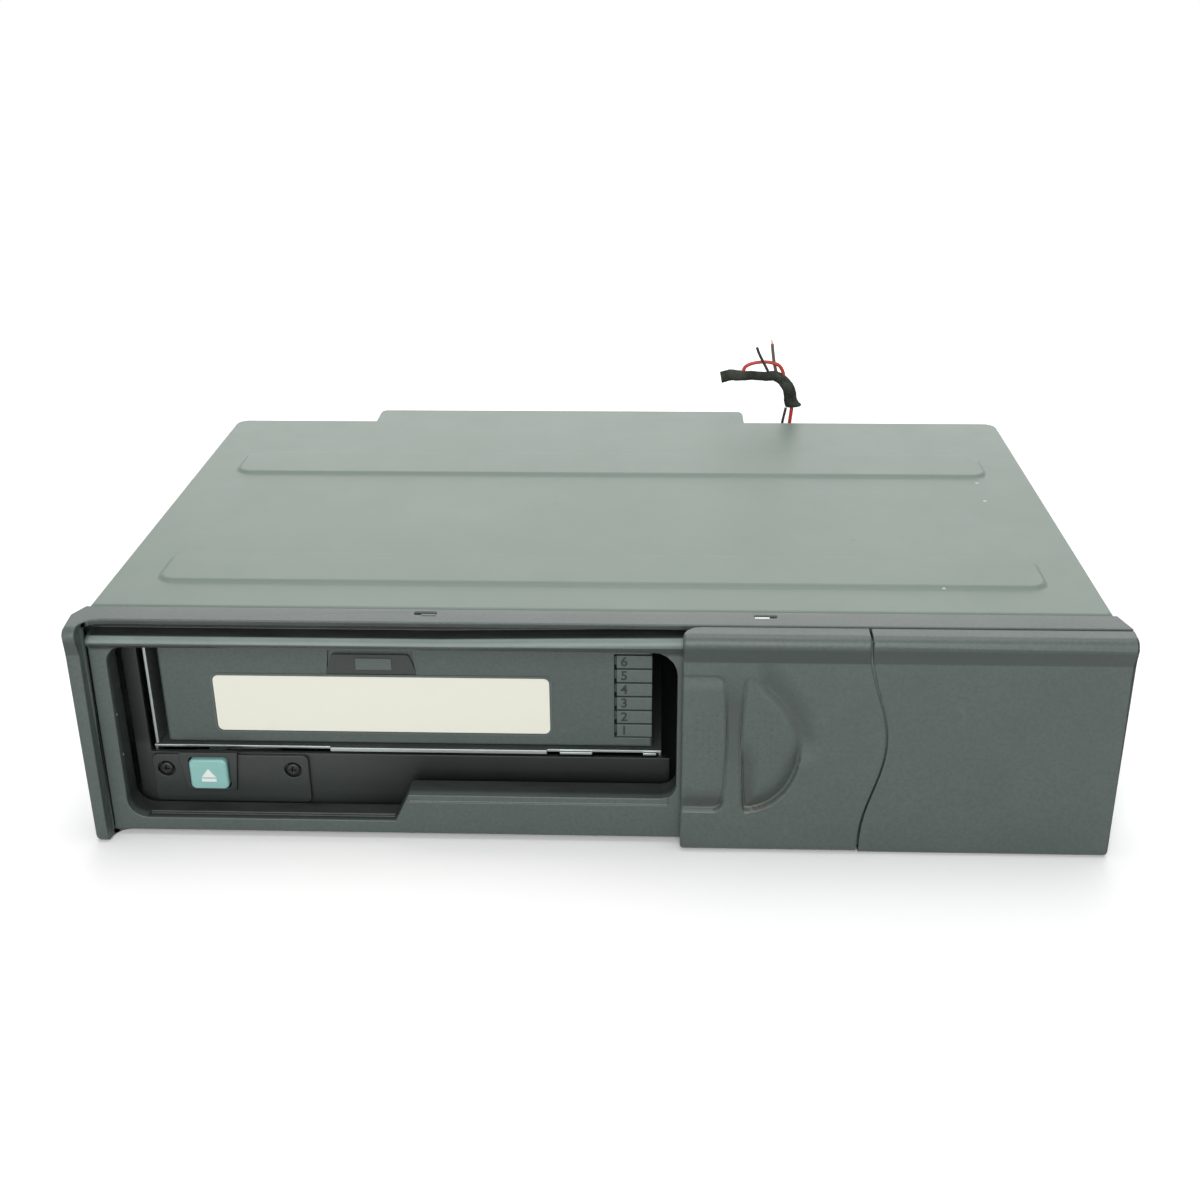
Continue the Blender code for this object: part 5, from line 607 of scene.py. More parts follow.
def soften(piece, width, segments=EDGE_SEGMENTS):
    """Rounds a piece's sharp edges and evens the shading of its flat faces."""
    rounding = piece.modifiers.new("Rounded edges", "BEVEL")
    rounding.width = width
    rounding.segments = segments
    rounding.limit_method = "ANGLE"
    rounding.angle_limit = math.radians(EDGE_DEGREES)
    rounding.use_clamp_overlap = False
    rounding.miter_outer = "MITER_ARC"
    rounding.harden_normals = False
    shading = piece.modifiers.new("Even shading", "WEIGHTED_NORMAL")
    shading.keep_sharp = False
    shading.weight = SHADING_WEIGHT


def softened(node, width, look=None, segments=EDGE_SEGMENTS, reshape=None):
    """A CAD node's own shape with rounded edges, as a piece that stands for the node."""
    bm = welded(node)
    if reshape:
        reshape(bm)
    soften(stand_in(node, bm, look), width, segments)


def cut(bm, place, direction):
    """Cuts the faces that a plane crosses."""
    everything = bm.verts[:] + bm.edges[:] + bm.faces[:]
    bmesh.ops.bisect_plane(bm, geom=everything, dist=WELD, plane_co=place, plane_no=direction)


def crease_share(height, crest):
    """How deep a height lies in the crease: nothing at its low end and at the crest, all of it between."""
    rise = (height - LOW_CREASE_Z) / (CREASE_Z - LOW_CREASE_Z)
    fall = (crest - height) / (crest - CREASE_Z)
    return max(min(rise, fall), 0)


def sink_brow(bm):
    """Deepens the crease under the nose, lowers the window's rail and draws the collar's rear corners in."""
    for side in (-1, 1):
        for place in (TAB_INNER - SLOT_MARGIN, TAB_OUTER + SLOT_MARGIN):
            cut(bm, (side * place, 0, 0), (1, 0, 0))
    extra = CREASE_DEPTH - SOLID_CREASE_DEPTH
    for vert in bm.verts:
        place = vert.co
        if place.y < FASCIA_FRONT + FRONT_SURFACE:
            place.y += extra * crease_share(place.z, CREST_Z)
        if place.y > COLLAR_REAR and abs(place.x) > COLLAR_REAR_SIDE:
            place.x = math.copysign(COLLAR_REAR_SIDE, place.x)
        if RAIL_REACH[0] < place.y < RAIL_REACH[1] and place.x < GRIP_LEFT:
            if place.y < RAIL_FACE:
                place.y += RAIL_SINK * crease_share(place.z, RAIL_CREST_Z)
            if RAIL_CREST_Z - CELL_LINE < place.z < RAIL_TOP + CELL_LINE:
                place.z -= RAIL_DROP


def quarter_faces(bm):
    """Cuts the faces through the holes of the button and the screws, so that no face surrounds a hole."""
    cuts = [((BUTTON_X, 0, BUTTON_Z), (1, 0, 0)), ((BUTTON_X, 0, BUTTON_Z), (0, 0, 1))]
    cuts += [(middle_of(node), (1, 0, 0)) for node in COVER_SCREWS]
    for place, direction in cuts:
        cut(bm, place, direction)


def spread_guide(bm):
    """Moves the guide's left wall out, clear of the magazine."""
    for vert in bm.verts:
        if vert.co.x < GUIDE_WALL:
            vert.co.x -= GUIDE_SHIFT


def coat_node(node, look):
    """Gives a CAD node that stays as it is its finish."""
    set_material(frame["nodes"][node], Looks.get(look))


def smooth_route(route_mm):
    """Close points on a smooth curve through a cord's own points."""
    places = [Vector(point) * MM for point in route_mm]
    places = [places[0] * 2 - places[1], *places, places[-1] * 2 - places[-2]]
    fine = []
    for before, start, end, after in zip(places, places[1:], places[2:], places[3:]):
        for index in range(ROUTE_STEPS):
            t = index / ROUTE_STEPS
            line = (end - before) * t
            curve = (before * 2 - start * 5 + end * 4 - after) * t ** 2
            twist = (start * 3 - before - end * 3 + after) * t ** 3
            fine.append((start * 2 + line + curve + twist) / 2)
    fine.append(places[-2])
    return fine


def route_length(points):
    """The length along a line of points."""
    return sum((b - a).length for a, b in zip(points, points[1:]))


def tube(points, radius_at, sides=TUBE_SIDES):
    """A closed tube along points; radius_at gives the radius at a share of the way and an angle."""
    bm = bmesh.new()
    uv = bm.loops.layers.uv.new("wrap")
    total = route_length(points)
    travelled = 0.0
    side = Vector((0, 1, 0))
    rings = []
    for index, point in enumerate(points):
        ahead = points[min(index + 1, len(points) - 1)] - points[max(index - 1, 0)]
        ahead.normalize()
        side = (side - ahead * side.dot(ahead)).normalized()
        other = ahead.cross(side)
        if index:
            travelled += (point - points[index - 1]).length
        turn = Matrix((side, other, ahead)).transposed().to_4x4()
        placed = Matrix.Translation(point) @ turn
        ring = bmesh.ops.create_circle(bm, segments=sides, radius=1.0, matrix=placed)["verts"]
        for vert in ring:
            outwards = (vert.co - point).normalized()
            angle = math.atan2(outwards.dot(other), outwards.dot(side))
            vert.co = point + outwards * radius_at(travelled / total, angle)
        rings.append((ring, travelled))
    for (low, start), (high, end) in zip(rings, rings[1:]):
        edges = ring_edges(low) + ring_edges(high)
        made = bmesh.ops.bridge_loops(bm, edges=edges)
        number = {vert: index for ring in (low, high) for index, vert in enumerate(ring)}
        for face in made["faces"]:
            wraps = max(number[vert] for vert in face.verts) == sides - 1
            for loop in face.loops:
                turn = sides if wraps and number[loop.vert] == 0 else number[loop.vert]
                loop[uv].uv = (turn / sides, end if loop.vert in high else start)
    for ring, _ in (rings[0], rings[-1]):
        bmesh.ops.contextual_create(bm, geom=ring_edges(ring))
    bmesh.ops.recalc_face_normals(bm, faces=bm.faces)
    return bm


def ring_edges(ring):
    """The edges that join the vertices of one ring."""
    members = set(ring)
    found = {edge for vert in ring for edge in vert.link_edges if edge.other_vert(vert) in members}
    return sorted(found, key=lambda edge: min(ring.index(edge.verts[0]), ring.index(edge.verts[1])))


def upright_rectangle(x_span, y, z_span):
    """The corners of a rectangle that faces the front."""
    left, right = x_span
    low, high = z_span
    return [(left, y, low), (right, y, low), (right, y, high), (left, y, high)]


def plate(corners, radius, depth, rim=0.0):
    """A thin plate with rounded corners, carried back by a depth; with a rim's width, only its border."""
    bm = bmesh.new()
    bm.faces.new([bm.verts.new(corner) for corner in corners])
    if radius:
        bmesh.ops.bevel(
            bm, geom=bm.verts[:], offset=radius, offset_type="OFFSET", segments=PLATE_CORNER_STEPS,
            profile=ROUND_PROFILE, affect="VERTICES", material=-1,
        )
    if rim:
        middle = bm.faces[:]
        bmesh.ops.inset_region(bm, faces=middle, thickness=rim, use_boundary=True, use_even_offset=True)
        bmesh.ops.delete(bm, geom=middle, context="FACES")
    made = bmesh.ops.extrude_face_region(bm, geom=bm.faces[:])
    moved = [item for item in made["geom"] if isinstance(item, bmesh.types.BMVert)]
    bmesh.ops.translate(bm, verts=moved, vec=(0, depth, 0))
    bmesh.ops.recalc_face_normals(bm, faces=bm.faces)
    return bm


def join(bm, other):
    """Moves another bmesh's shape into this one."""
    mesh = bpy.data.meshes.new("joined")
    other.to_mesh(mesh)
    other.free()
    bm.from_mesh(mesh)
    bpy.data.meshes.remove(mesh)


def block(spans, rounding):
    """A block between three spans, with its edges rounded."""
    bm = bmesh.new()
    bmesh.ops.create_cube(bm, size=1.0)
    bmesh.ops.scale(bm, verts=bm.verts, vec=[high - low for low, high in spans])
    bmesh.ops.translate(bm, verts=bm.verts, vec=[(high + low) / 2 for low, high in spans])
    bmesh.ops.bevel(
        bm, geom=bm.edges[:], offset=rounding, offset_type="OFFSET", segments=EDGE_SEGMENTS,
        profile=ROUND_PROFILE, affect="EDGES", material=-1,
    )
    return bm


def soft_step(value, low, high):
    """A soft step from 0 at low to 1 at high."""
    share = min(max((value - low) / (high - low), 0.0), 1.0)
    return share * share * (3 - 2 * share)


def arc(centre, radius, start, end):
    """Points on an arc in Y and Z, between two angles in degrees."""
    points = []
    for index in range(ARC_STEPS + 1):
        angle = math.radians(start + (end - start) * index / ARC_STEPS)
        points.append(Vector((centre[0] + radius * math.cos(angle), centre[1] + radius * math.sin(angle))))
    return points


def door_section(step):
    """The door's outline in Y and Z, with the direction into the door at each point."""
    points = [Vector((WRAP_REAR, GRIP_BOTTOM))]
    points += arc((FASCIA_FRONT + TOE_RADIUS, GRIP_BOTTOM + TOE_RADIUS), TOE_RADIUS, 270, 180)
    points += [Vector((FASCIA_FRONT, LOW_CREASE_Z)), Vector((FASCIA_FRONT + CREASE_DEPTH, CREASE_Z))]
    points += arc((FASCIA_FRONT + NOSE_RADIUS, GRIP_TOP - NOSE_RADIUS), NOSE_RADIUS, 180, 90)
    points.append(Vector((WRAP_REAR, GRIP_TOP)))
    fine = [points[0]]
    for start, end in zip(points, points[1:]):
        parts = max(1, round((end - start).length / step))
        fine += [start.lerp(end, index / parts) for index in range(1, parts + 1)]
    section = []
    for index, point in enumerate(fine):
        along = (fine[min(index + 1, len(fine) - 1)] - fine[max(index - 1, 0)]).normalized()
        section.append((point, Vector((along.y, -along.x))))
    return section


def door_left(y):
    """The door's left edge at a depth: its rear corner is rounded in plan."""
    run = y - (WRAP_REAR - GRIP_CORNER)
    if run <= 0:
        return GRIP_LEFT
    return GRIP_LEFT + GRIP_CORNER - math.sqrt(max(GRIP_CORNER ** 2 - run ** 2, 0))


def door_right(z):
    """The door's bowed right edge at a height."""
    share = (z - BOW_CENTRE) / BOW_HALF_HEIGHT
    if abs(share) >= 1:
        return GRIP_RIGHT
    return GRIP_RIGHT + BOW_DEPTH * math.cos(share * math.pi / 2) ** 2


def door_columns(step):
    """Columns of the door's face: what each is measured from, its place, and how far it is tucked in."""
    columns = [("left", LEFT_ROUNDING * out, max(LEFT_ROUNDING * tuck, SKIN_FLANGE * (out == 0)))
               for out, tuck in ROUNDING_SHARES]
    columns.insert(1, ("left", 0.0, LEFT_ROUNDING))
    place = GRIP_LEFT + LEFT_ROUNDING + step
    while place < BEND_START:
        columns.append(("face", place, 0.0))
        place += step * (FINE_SHARE if FINE_SPAN[0] < place < FINE_SPAN[1] else 1)
    parts = round((GRIP_RIGHT - BEND_START) / step)
    columns += [("bend", index / parts, 0.0) for index in range(parts)]
    rounding = [("right", RIGHT_ROUNDING * out, max(RIGHT_ROUNDING * tuck, SKIN_FLANGE * (out == 0)))
                for out, tuck in reversed(ROUNDING_SHARES)]
    rounding.insert(len(rounding) - 1, ("right", 0.0, RIGHT_ROUNDING))
    return columns + rounding


def column_x(kind, place, left, right):
    """Where a column stands between the door's edges."""
    if kind == "left":
        return left + place
    if kind == "right":
        return right - place
    if kind == "bend":
        return BEND_START + (right - RIGHT_ROUNDING - BEND_START) * place
    return max(place, left + LEFT_ROUNDING)


def pad_distance(x, z):
    """How far a point of the face is outside the left recess; negative inside."""
    height = (z - PAD_MIDDLE) / PAD_HALF_HEIGHT
    beside = x - (PAD_RIGHT - PAD_BEND * height ** 2) + PAD_CORNER
    above = abs(z - PAD_MIDDLE) - PAD_HALF_HEIGHT + PAD_CORNER
    return math.hypot(max(beside, 0), max(above, 0)) + min(max(beside, above), 0) - PAD_CORNER


def moon_distance(x, z):
    """How far a point of the face is outside the half-moon recess, and outside its left edge."""
    power = MOON_LOW_POWER + (MOON_HIGH_POWER - MOON_LOW_POWER) * soft_step(z, *MOON_TURN_SPAN)
    across = max(x - MOON_LEFT, 0) / MOON_WIDTH
    height = abs(z - MOON_MIDDLE) / MOON_HALF_HEIGHT
    round_side = ((across ** power + height ** power) ** (1 / power) - 1) * MOON_WIDTH
    left_side = MOON_LEFT + MOON_BEND * height ** 2 - x
    return max(round_side, left_side), left_side


def bell(distance, width):
    """A smooth bump that is 1 at no distance and fades over a width."""
    return math.exp(-(distance / width) ** 2)


def door_relief(x, z, dive):
    """How far the door's face is pressed in at a point, for its finger recesses and the bar between them."""
    if not RELIEF_SPAN[0] < z < RELIEF_SPAN[1]:
        return 0.0
    pad = pad_distance(x, z)
    moon, moon_side = moon_distance(x, z)
    in_pad = 1 - soft_step(pad, -LIP_WIDTH, 0)
    in_moon = 1 - soft_step(moon, -LIP_WIDTH, 0)
    high = soft_step(z, *MOON_TURN_SPAN)
    depth = in_pad * (
        PAD_LEVEL + PAD_TOP_DIP * soft_step(z, *PAD_TOP_SPAN) + dive * (1 - soft_step(z, *PAD_DIVE_SPAN))
    )
    slope = high * soft_step(x, *MOON_SIDE_SPAN)
    edge = 1 - soft_step(moon, 0, MOON_OUTSIDE) if moon > 0 else 1 - soft_step(-moon, 0, MOON_INSIDE)
    depth += slope * MOON_GROOVE * edge * (1 - in_pad)
    low_dive = (1 - high) * MOON_DIVE * (1 - soft_step(-moon, 0, MOON_DIVE_WIDTH))
    depth += in_moon * (PAD_LEVEL + low_dive)
    on_bar = soft_step(pad, 0, LIP_WIDTH) * soft_step(moon_side, 0, LIP_WIDTH) * (x > PAD_RIGHT - PAD_CORNER)
    depth += on_bar * BAR_RECESS * (1 - soft_step(z, *BAR_HIGH_SPAN)) * soft_step(z, *BAR_LOW_SPAN)
    inside_height = 1 - soft_step(abs(z - PAD_MIDDLE), PAD_HALF_HEIGHT - PAD_CORNER, PAD_HALF_HEIGHT)
    depth += LINE_DEPTH * inside_height * (bell(pad, LINE_WIDTH) + bell(moon_side, LINE_WIDTH))
    return depth


def door_skin(sizes):
    """The door's face as a thin shell: its section swept across, pressed in where the fingers go."""
    section = door_section(sizes.relief_step)
    columns = door_columns(sizes.relief_step)
    bm = bmesh.new()
    bmesh.ops.create_grid(bm, x_segments=len(columns) - 1, y_segments=len(section) - 1, size=HALF_GRID)
    pressing = bm.verts.layers.float.new("pressed")
    for vert in bm.verts:
        kind, place, tuck = columns[round((vert.co.x + HALF_GRID) * (len(columns) - 1))]
        point, inwards = section[round((vert.co.y + HALF_GRID) * (len(section) - 1))]
        x = column_x(kind, place, door_left(point.x), door_right(point.y))
        if point.x > RETURN_START:
            tuck = min(tuck, RETURN_TUCK)
        pressed = door_relief(x, point.y, sizes.pad_dive)
        depth = point.x + inwards.x * tuck + pressed
        if pressed and kind == "left":
            depth = min(depth, FLANGE_REAR)
        vert.co = (x, depth, point.y + inwards.y * tuck)
        vert[pressing] = pressed / MM
    bmesh.ops.remove_doubles(bm, verts=bm.verts, dist=WELD)
    bmesh.ops.recalc_face_normals(bm, faces=bm.faces)
    front = min(bm.faces, key=lambda face: face.calc_center_median().y)
    if front.normal.y > 0:
        bmesh.ops.reverse_faces(bm, faces=bm.faces)
    bmesh.ops.solidify(bm, geom=bm.faces[:], thickness=SKIN_THICKNESS)
    for spans in (APRON_SPANS, RISER_SPANS, TONGUE_SPANS):
        join(bm, block(spans, SHEET_ROUNDING))
    return bm


def door_pips(sizes):
    """Small grip pips on the door's two finger recesses."""
    bm = bmesh.new()
    for x_span, z_span, across, up in PIP_FIELDS:
        for column in range(across):
            for row in range(up):
                x = x_span[0] + (x_span[1] - x_span[0]) * column / (across - 1)
                z = z_span[0] + (z_span[1] - z_span[0]) * row / (up - 1)
                level = (z - LOW_CREASE_Z) / (CREASE_Z - LOW_CREASE_Z)
                y = FASCIA_FRONT + CREASE_DEPTH * level + door_relief(x, z, sizes.pad_dive)
                place = Matrix.Translation((x, y, z)) @ Matrix.Diagonal((1, PIP_FLATNESS, 1, 1))
                bmesh.ops.create_icosphere(bm, subdivisions=2, radius=PIP_RADIUS, matrix=place)
    return bm


def extruded_ring(bm, edges, share, drop):
    """Carries a ring of edges on: scaled about the Z axis by a share, and lowered by a drop."""
    made = bmesh.ops.extrude_edge_only(bm, edges=edges)["geom"]
    verts = [item for item in made if isinstance(item, bmesh.types.BMVert)]
    bmesh.ops.scale(bm, verts=verts, vec=(share, share, 1))
    bmesh.ops.translate(bm, verts=verts, vec=(0, 0, -drop))
    return [item for item in made if isinstance(item, bmesh.types.BMEdge) and set(item.verts) <= set(verts)]


def cross_outline():
    """The corners of a cross recess."""
    quarter = [(CROSS_REACH, -CROSS_HALF), (CROSS_REACH, CROSS_HALF), (CROSS_HALF, CROSS_HALF)]
    corners = []
    for turn in range(4):
        corners += [Matrix.Rotation(math.tau * turn / 4, 2) @ Vector(corner) for corner in quarter]
    return corners


def cross_screw(centre, length):
    """A pan-head screw that faces the front, with a cross recess in its domed head."""
    bm = bmesh.new()
    cross = [bm.verts.new((*corner, 0)) for corner in cross_outline()]
    cross_edges = [bm.edges.new((a, b)) for a, b in zip(cross, cross[1:] + cross[:1])]
    shoulder = (SCREW_HEAD - SCREW_DOME) / SCREW_HEAD
    circle = bmesh.ops.create_circle(bm, segments=SCREW_SIDES, radius=SCREW_HEAD * shoulder)["verts"]
    bmesh.ops.translate(bm, verts=circle, vec=(0, 0, -SCREW_DOME * CROSS_TAPER))
    rim = ring_edges(circle)
    bmesh.ops.bridge_loops(bm, edges=rim + cross_edges)
    rim = extruded_ring(bm, rim, 1 / shoulder, SCREW_DOME)
    rim = extruded_ring(bm, rim, 1, SCREW_HEAD_HEIGHT)
    rim = extruded_ring(bm, rim, SCREW_SHANK / SCREW_HEAD, 0)
    rim = extruded_ring(bm, rim, 1, length - SCREW_HEAD_HEIGHT)
    bmesh.ops.contextual_create(bm, geom=rim)
    floor = extruded_ring(bm, cross_edges, CROSS_TAPER, CROSS_DEPTH)
    bmesh.ops.contextual_create(bm, geom=floor)
    bmesh.ops.recalc_face_normals(bm, faces=bm.faces)
    bmesh.ops.transform(bm, verts=bm.verts, matrix=Matrix.Translation(centre) @ FACING_FRONT)
    return bm


def numeral(text, height, place):
    """A raised numeral that faces the front."""
    curve = bpy.data.curves.new(f"numeral_{text}", "FONT")
    curve.body = text
    curve.size = height / NUMERAL_SHARE
    curve.extrude = NUMERAL_DEPTH / 2
    curve.offset = NUMERAL_WEIGHT
    curve.align_x = "CENTER"
    curve.align_y = "CENTER"
    holder = linked(curve.name, curve)
    shape = bpy.data.meshes.new_from_object(holder.evaluated_get(bpy.context.evaluated_depsgraph_get()))
    bpy.data.objects.remove(holder)
    bpy.data.curves.remove(curve)
    bm = bmesh.new()
    bm.from_mesh(shape)
    bpy.data.meshes.remove(shape)
    bmesh.ops.transform(bm, verts=bm.verts, matrix=Matrix.Translation(place) @ FACING_FRONT)
    bmesh.ops.remove_doubles(bm, verts=bm.verts, dist=NUMERAL_WELD)
    return bm


def paint_finish(colours):
    """Satin paint on sheet steel: fine grain, faint mottling, a few scuffs and chips."""
    finish = Finish("painted_steel", 0.42)
    base = tuple(colours.steel)
    cloud = finish.noise(*PAINT_CLOUD)
    fine = finish.noise(*PAINT_GRAIN)
    speck = finish.fade(finish.cells(330), 0.045, 0.02) * finish.fade(finish.noise(60), 0.50, 0.62)
    tone = finish.mix(finish.fade(cloud, *CLOUD_SPAN), scaled(base, 0.96), scaled(base, 1.05))
    tone = finish.mix(fine * 0.5, tone, scaled(base, 0.90))
    tone = finish.mix(speck * 0.35, tone, scaled(base, 1.5))
    for place, reach in COVER_STAINS:
        stain = finish.fade(finish.distance(place) + finish.noise(500) * reach, reach * 1.5, reach * 0.5)
        tone = finish.mix(stain * 0.28, tone, scaled(base, 0.45))
    for place in COVER_CHIPS:
        chip = finish.fade(finish.distance(place, (0.6, 1, 1)), CHIP_REACH, CHIP_REACH * CHIP_CORE_SHARE)
        tone = finish.mix(chip * 0.8, tone, PALE)
    finish.set("Base Color", tone)
    finish.set("Roughness", 0.40 + finish.noise(90, 3.0) * 0.10)
    finish.bump(fine + finish.noise(900, 2.0) * 0.6, 0.22, PAINT_BUMP)
    return finish.material


def fascia_finish(
    colours, name="slate_plastic", base=None, grain=1.0, dirt=(), shade=False, window_shade=False,
):
    """Spark-grained moulded plastic with dust, slight wear and a band of painted shade under the nose.

    Dirt lies at the places given, and with it painted shade darkens the door's recesses the deeper they are
    pressed in; shade painted on darkens the bay's far parts; and for the window, shade is painted into the
    slot under the collar, the band under the rail and the inside, with a highlight painted on the rail's
    nose.
    """
    base = base or tuple(colours.fascia)
    finish = Finish(name, 0.5)
    grain_map = finish.noise(*PLASTIC_GRAIN)
    cloud = finish.noise(*PLASTIC_CLOUD)
    speckle = finish.noise(*PLASTIC_SPECKLE)
    tone = finish.mix(finish.fade(cloud, *CLOUD_SPAN), scaled(base, 0.93), scaled(base, 1.07))
    tone = finish.mix(grain_map * 0.3 * grain, tone, scaled(base, 1.3))
    tone = finish.mix(finish.fade(speckle, 0.35, 0.7) * 0.5 * grain, tone, scaled(base, 0.72))
    dust = finish.fade(finish.noise(*PLASTIC_DUST), 0.62, 0.75) * 0.25
    tone = finish.mix(dust, tone, scaled(base, 1.6))
    height = finish.axis("Z")
    depth = finish.axis("Y")
    # Painted shade on the band under the nose
    brow_shade = finish.region((height, BROW_LOW), (height, BROW_HIGH), (depth, BROW_DEPTHS))
    tone = finish.mix(brow_shade * BROW_SHADE_SHARE, tone, scaled(base, 0.42))
    # Painted shade in the window: in the slot under the collar, on the band under the rail and inside the
    # window
    if window_shade:
        across = finish.axis("X")
        window = finish.region((across, INSIDE_LEFT), (across, INSIDE_RIGHT))
        slot = finish.region((depth, SLOT_DEPTHS), (height, SLOT_LOW), (height, SLOT_HIGH))
        band = finish.region((depth, BAND_DEPTHS), (height, BAND_LOW), (height, BAND_HIGH))
        inside = finish.region((depth, INSIDE_DEPTHS), (height, INSIDE_HIGH))
        # worn only thins the painted shade and the painted highlight in streaks
        worn = finish.fade(finish.noise(*PAINTED_LIGHT_STREAKS), 0.3, 0.7) * 0.25
        tone = finish.mix(slot * window * (0.85 - worn), tone, PAINTED_SHADE)
        tone = finish.mix(band * window * (0.62 - worn), tone, PAINTED_SHADE)
        tone = finish.mix(inside * window * (0.85 - worn), tone, PAINTED_SHADE)
        # Painted highlight on the rail's nose
        nose = finish.region((depth, RAIL_HIGHLIGHT_DEPTHS), (height, RAIL_HIGHLIGHT_LOW)) * window
        nose = nose * finish.fade(height, *INSIDE_TOP)
        tone = finish.mix(nose * (0.8 - worn), tone, scaled(base, 2.6))
    # Painted shade in the door's recesses: the deeper the face is pressed in, the darker it is
    if dirt:
        pressed = finish.node("ShaderNodeAttribute", {"attribute_name": "pressed"}, {}, "Fac")
        tone = finish.mix(finish.fade(pressed, 0.1, 1.2) * 0.42, tone, scaled(base, 0.35))
    # Painted shade on the sill, high up and towards the right
    if shade:
        above = finish.fade(height, *SILL_HIGH_SHADE)
        beside = finish.fade(finish.axis("X"), *SILL_RIGHT_SHADE)
        dark = 1.0 - (1.0 - above) * (1.0 - beside)
        tone = finish.mix(dark * 0.72, tone, (0.002, 0.002, 0.002))
    for place in PLASTIC_CHIPS:
        chip = finish.fade(finish.distance(place), CHIP_REACH, CHIP_REACH * CHIP_CORE_SHARE)
        tone = finish.mix(chip, tone, PALE)
    for place in dirt:
        near = finish.fade(finish.distance(place, DIRT_WEIGHTS), DIRT_REACH, DIRT_REACH * 0.35)
        patches = finish.fade(finish.noise(*DIRT_PATCHES), 0.36, 0.62)
        tone = finish.mix(near * patches * 0.62, tone, DIRT_COLOUR)
    finish.set("Base Color", tone)
    finish.set("Roughness", 0.34 + finish.noise(70, 3.0) * 0.14)
    finish.bump(grain_map + speckle, 0.4 * grain, PLASTIC_BUMP)
    return finish.material


def metal_finish(name, colour, roughness=0.38, metallic=0.85, shade_span=None):
    """Plated or bare metal with a fine brushed grain and clouded plating, with painted shade that blackens it
    past a place along X.
    """
    finish = Finish(name, roughness, metallic)
    grain = finish.noise(*BRUSHED_GRAIN)
    cloud = finish.noise(*PLATING_CLOUD)
    tone = finish.mix(cloud, scaled(colour, 0.82), scaled(colour, 1.12))
    # Painted shade, darkening the metal past a place along X
    if shade_span:
        tone = finish.mix(finish.fade(finish.axis("X"), *shade_span), tone, PAINTED_SHADE)
    finish.set("Base Color", tone)
    finish.set("Roughness", roughness - 0.08 + cloud * 0.12 + grain * 0.08)
    finish.bump(grain, 0.12, METAL_BUMP)
    return finish.material


def rubber_finish():
    """Matt black rubber with a dusty bloom."""
    finish = Finish("black_rubber", 0.75)
    bloom = finish.noise(*RUBBER_BLOOM)
    finish.set("Base Color", finish.mix(bloom, (0.016, 0.016, 0.016), (0.045, 0.045, 0.043)))
    finish.set("Roughness", 0.66 + bloom * 0.2)
    finish.bump(finish.noise(1900, 2.0), 0.25, RUBBER_BUMP)
    return finish.material


def board_finish():
    """Green solder mask over copper tracks, with pale pads."""
    finish = Finish("board_green", 0.35)
    height = finish.axis("Z")
    tracks = finish.fade(finish.cells(*BOARD_TRACKS), 0.10, 0.06)
    pads = finish.fade(finish.cells(420), 0.12, 0.08)
    mask = finish.mix(tracks, (0.012, 0.085, 0.030), (0.025, 0.150, 0.055))
    mask = finish.mix(pads * 0.8, mask, (0.52, 0.50, 0.44))
    chips = finish.fade(height, *BOARD_CHIP_HEIGHTS)
    finish.set("Base Color", finish.mix(chips, mask, (0.018, 0.018, 0.020)))
    finish.set("Roughness", 0.32 + chips * 0.25)
    finish.bump(tracks, 0.3, BOARD_BUMP)
    return finish.material


def paper_finish(colours):
    """Coated paper: cream, with faint fibres and rubbed edges."""
    finish = Finish("label_paper", 0.5)
    base = tuple(colours.label)
    fibres = finish.noise(*PAPER_FIBRES)
    rubbed = finish.fade(finish.noise(*PAPER_RUBS), 0.60, 0.78)
    tone = finish.mix(fibres * 0.5, base, scaled(base, 0.93))
    finish.set("Base Color", finish.mix(rubbed * 0.5, tone, scaled(base, 0.86)))
    finish.set("Roughness", 0.42 + fibres * 0.16)
    finish.bump(fibres, 0.15, PAPER_BUMP)
    return finish.material


def ink_finish(name, colour, worn):
    """Printed or filled marks, slightly worn."""
    finish = Finish(name, 0.55)
    wear = finish.fade(finish.noise(*INK_WEAR), 0.45, 0.7)
    finish.set("Base Color", finish.mix(wear * worn, colour, scaled(colour, 0.6)))
    finish.set("Roughness", 0.45 + wear * 0.2)
    return finish.material


def wire_finish(name, colour, roughness=0.38):
    """Extruded wire insulation with slight scuffs."""
    finish = Finish(name, roughness)
    scuff = finish.noise(*WIRE_SCUFFS)
    finish.set("Base Color", finish.mix(scuff, scaled(colour, 0.75), scaled(colour, 1.2)))
    finish.set("Roughness", roughness - 0.05 + scuff * 0.15)
    return finish.material


def tape_finish():
    """Fleece tape, matted and dusty, with pale lint and dark worn places."""
    finish = Finish("cloth_tape", 0.8, 0.0, Specular_IOR_Level=0.2)
    weave = finish.noise(*TAPE_WEAVE)
    lint = finish.fade(finish.noise(*TAPE_LINT), 0.55, 0.68)
    cloud = finish.noise(*TAPE_CLOUD)
    tone = finish.mix(finish.fade(cloud, 0.35, 0.65), (0.014, 0.016, 0.012), (0.048, 0.053, 0.042))
    tone = finish.mix(lint * 0.3, tone, (0.13, 0.14, 0.115))
    finish.set("Base Color", finish.mix(weave * 0.2, tone, (0.07, 0.075, 0.062)))
    finish.set("Roughness", 0.7 + weave * 0.2)
    finish.bump(weave + lint * 0.6 + cloud, 0.5, TAPE_BUMP)
    return finish.material


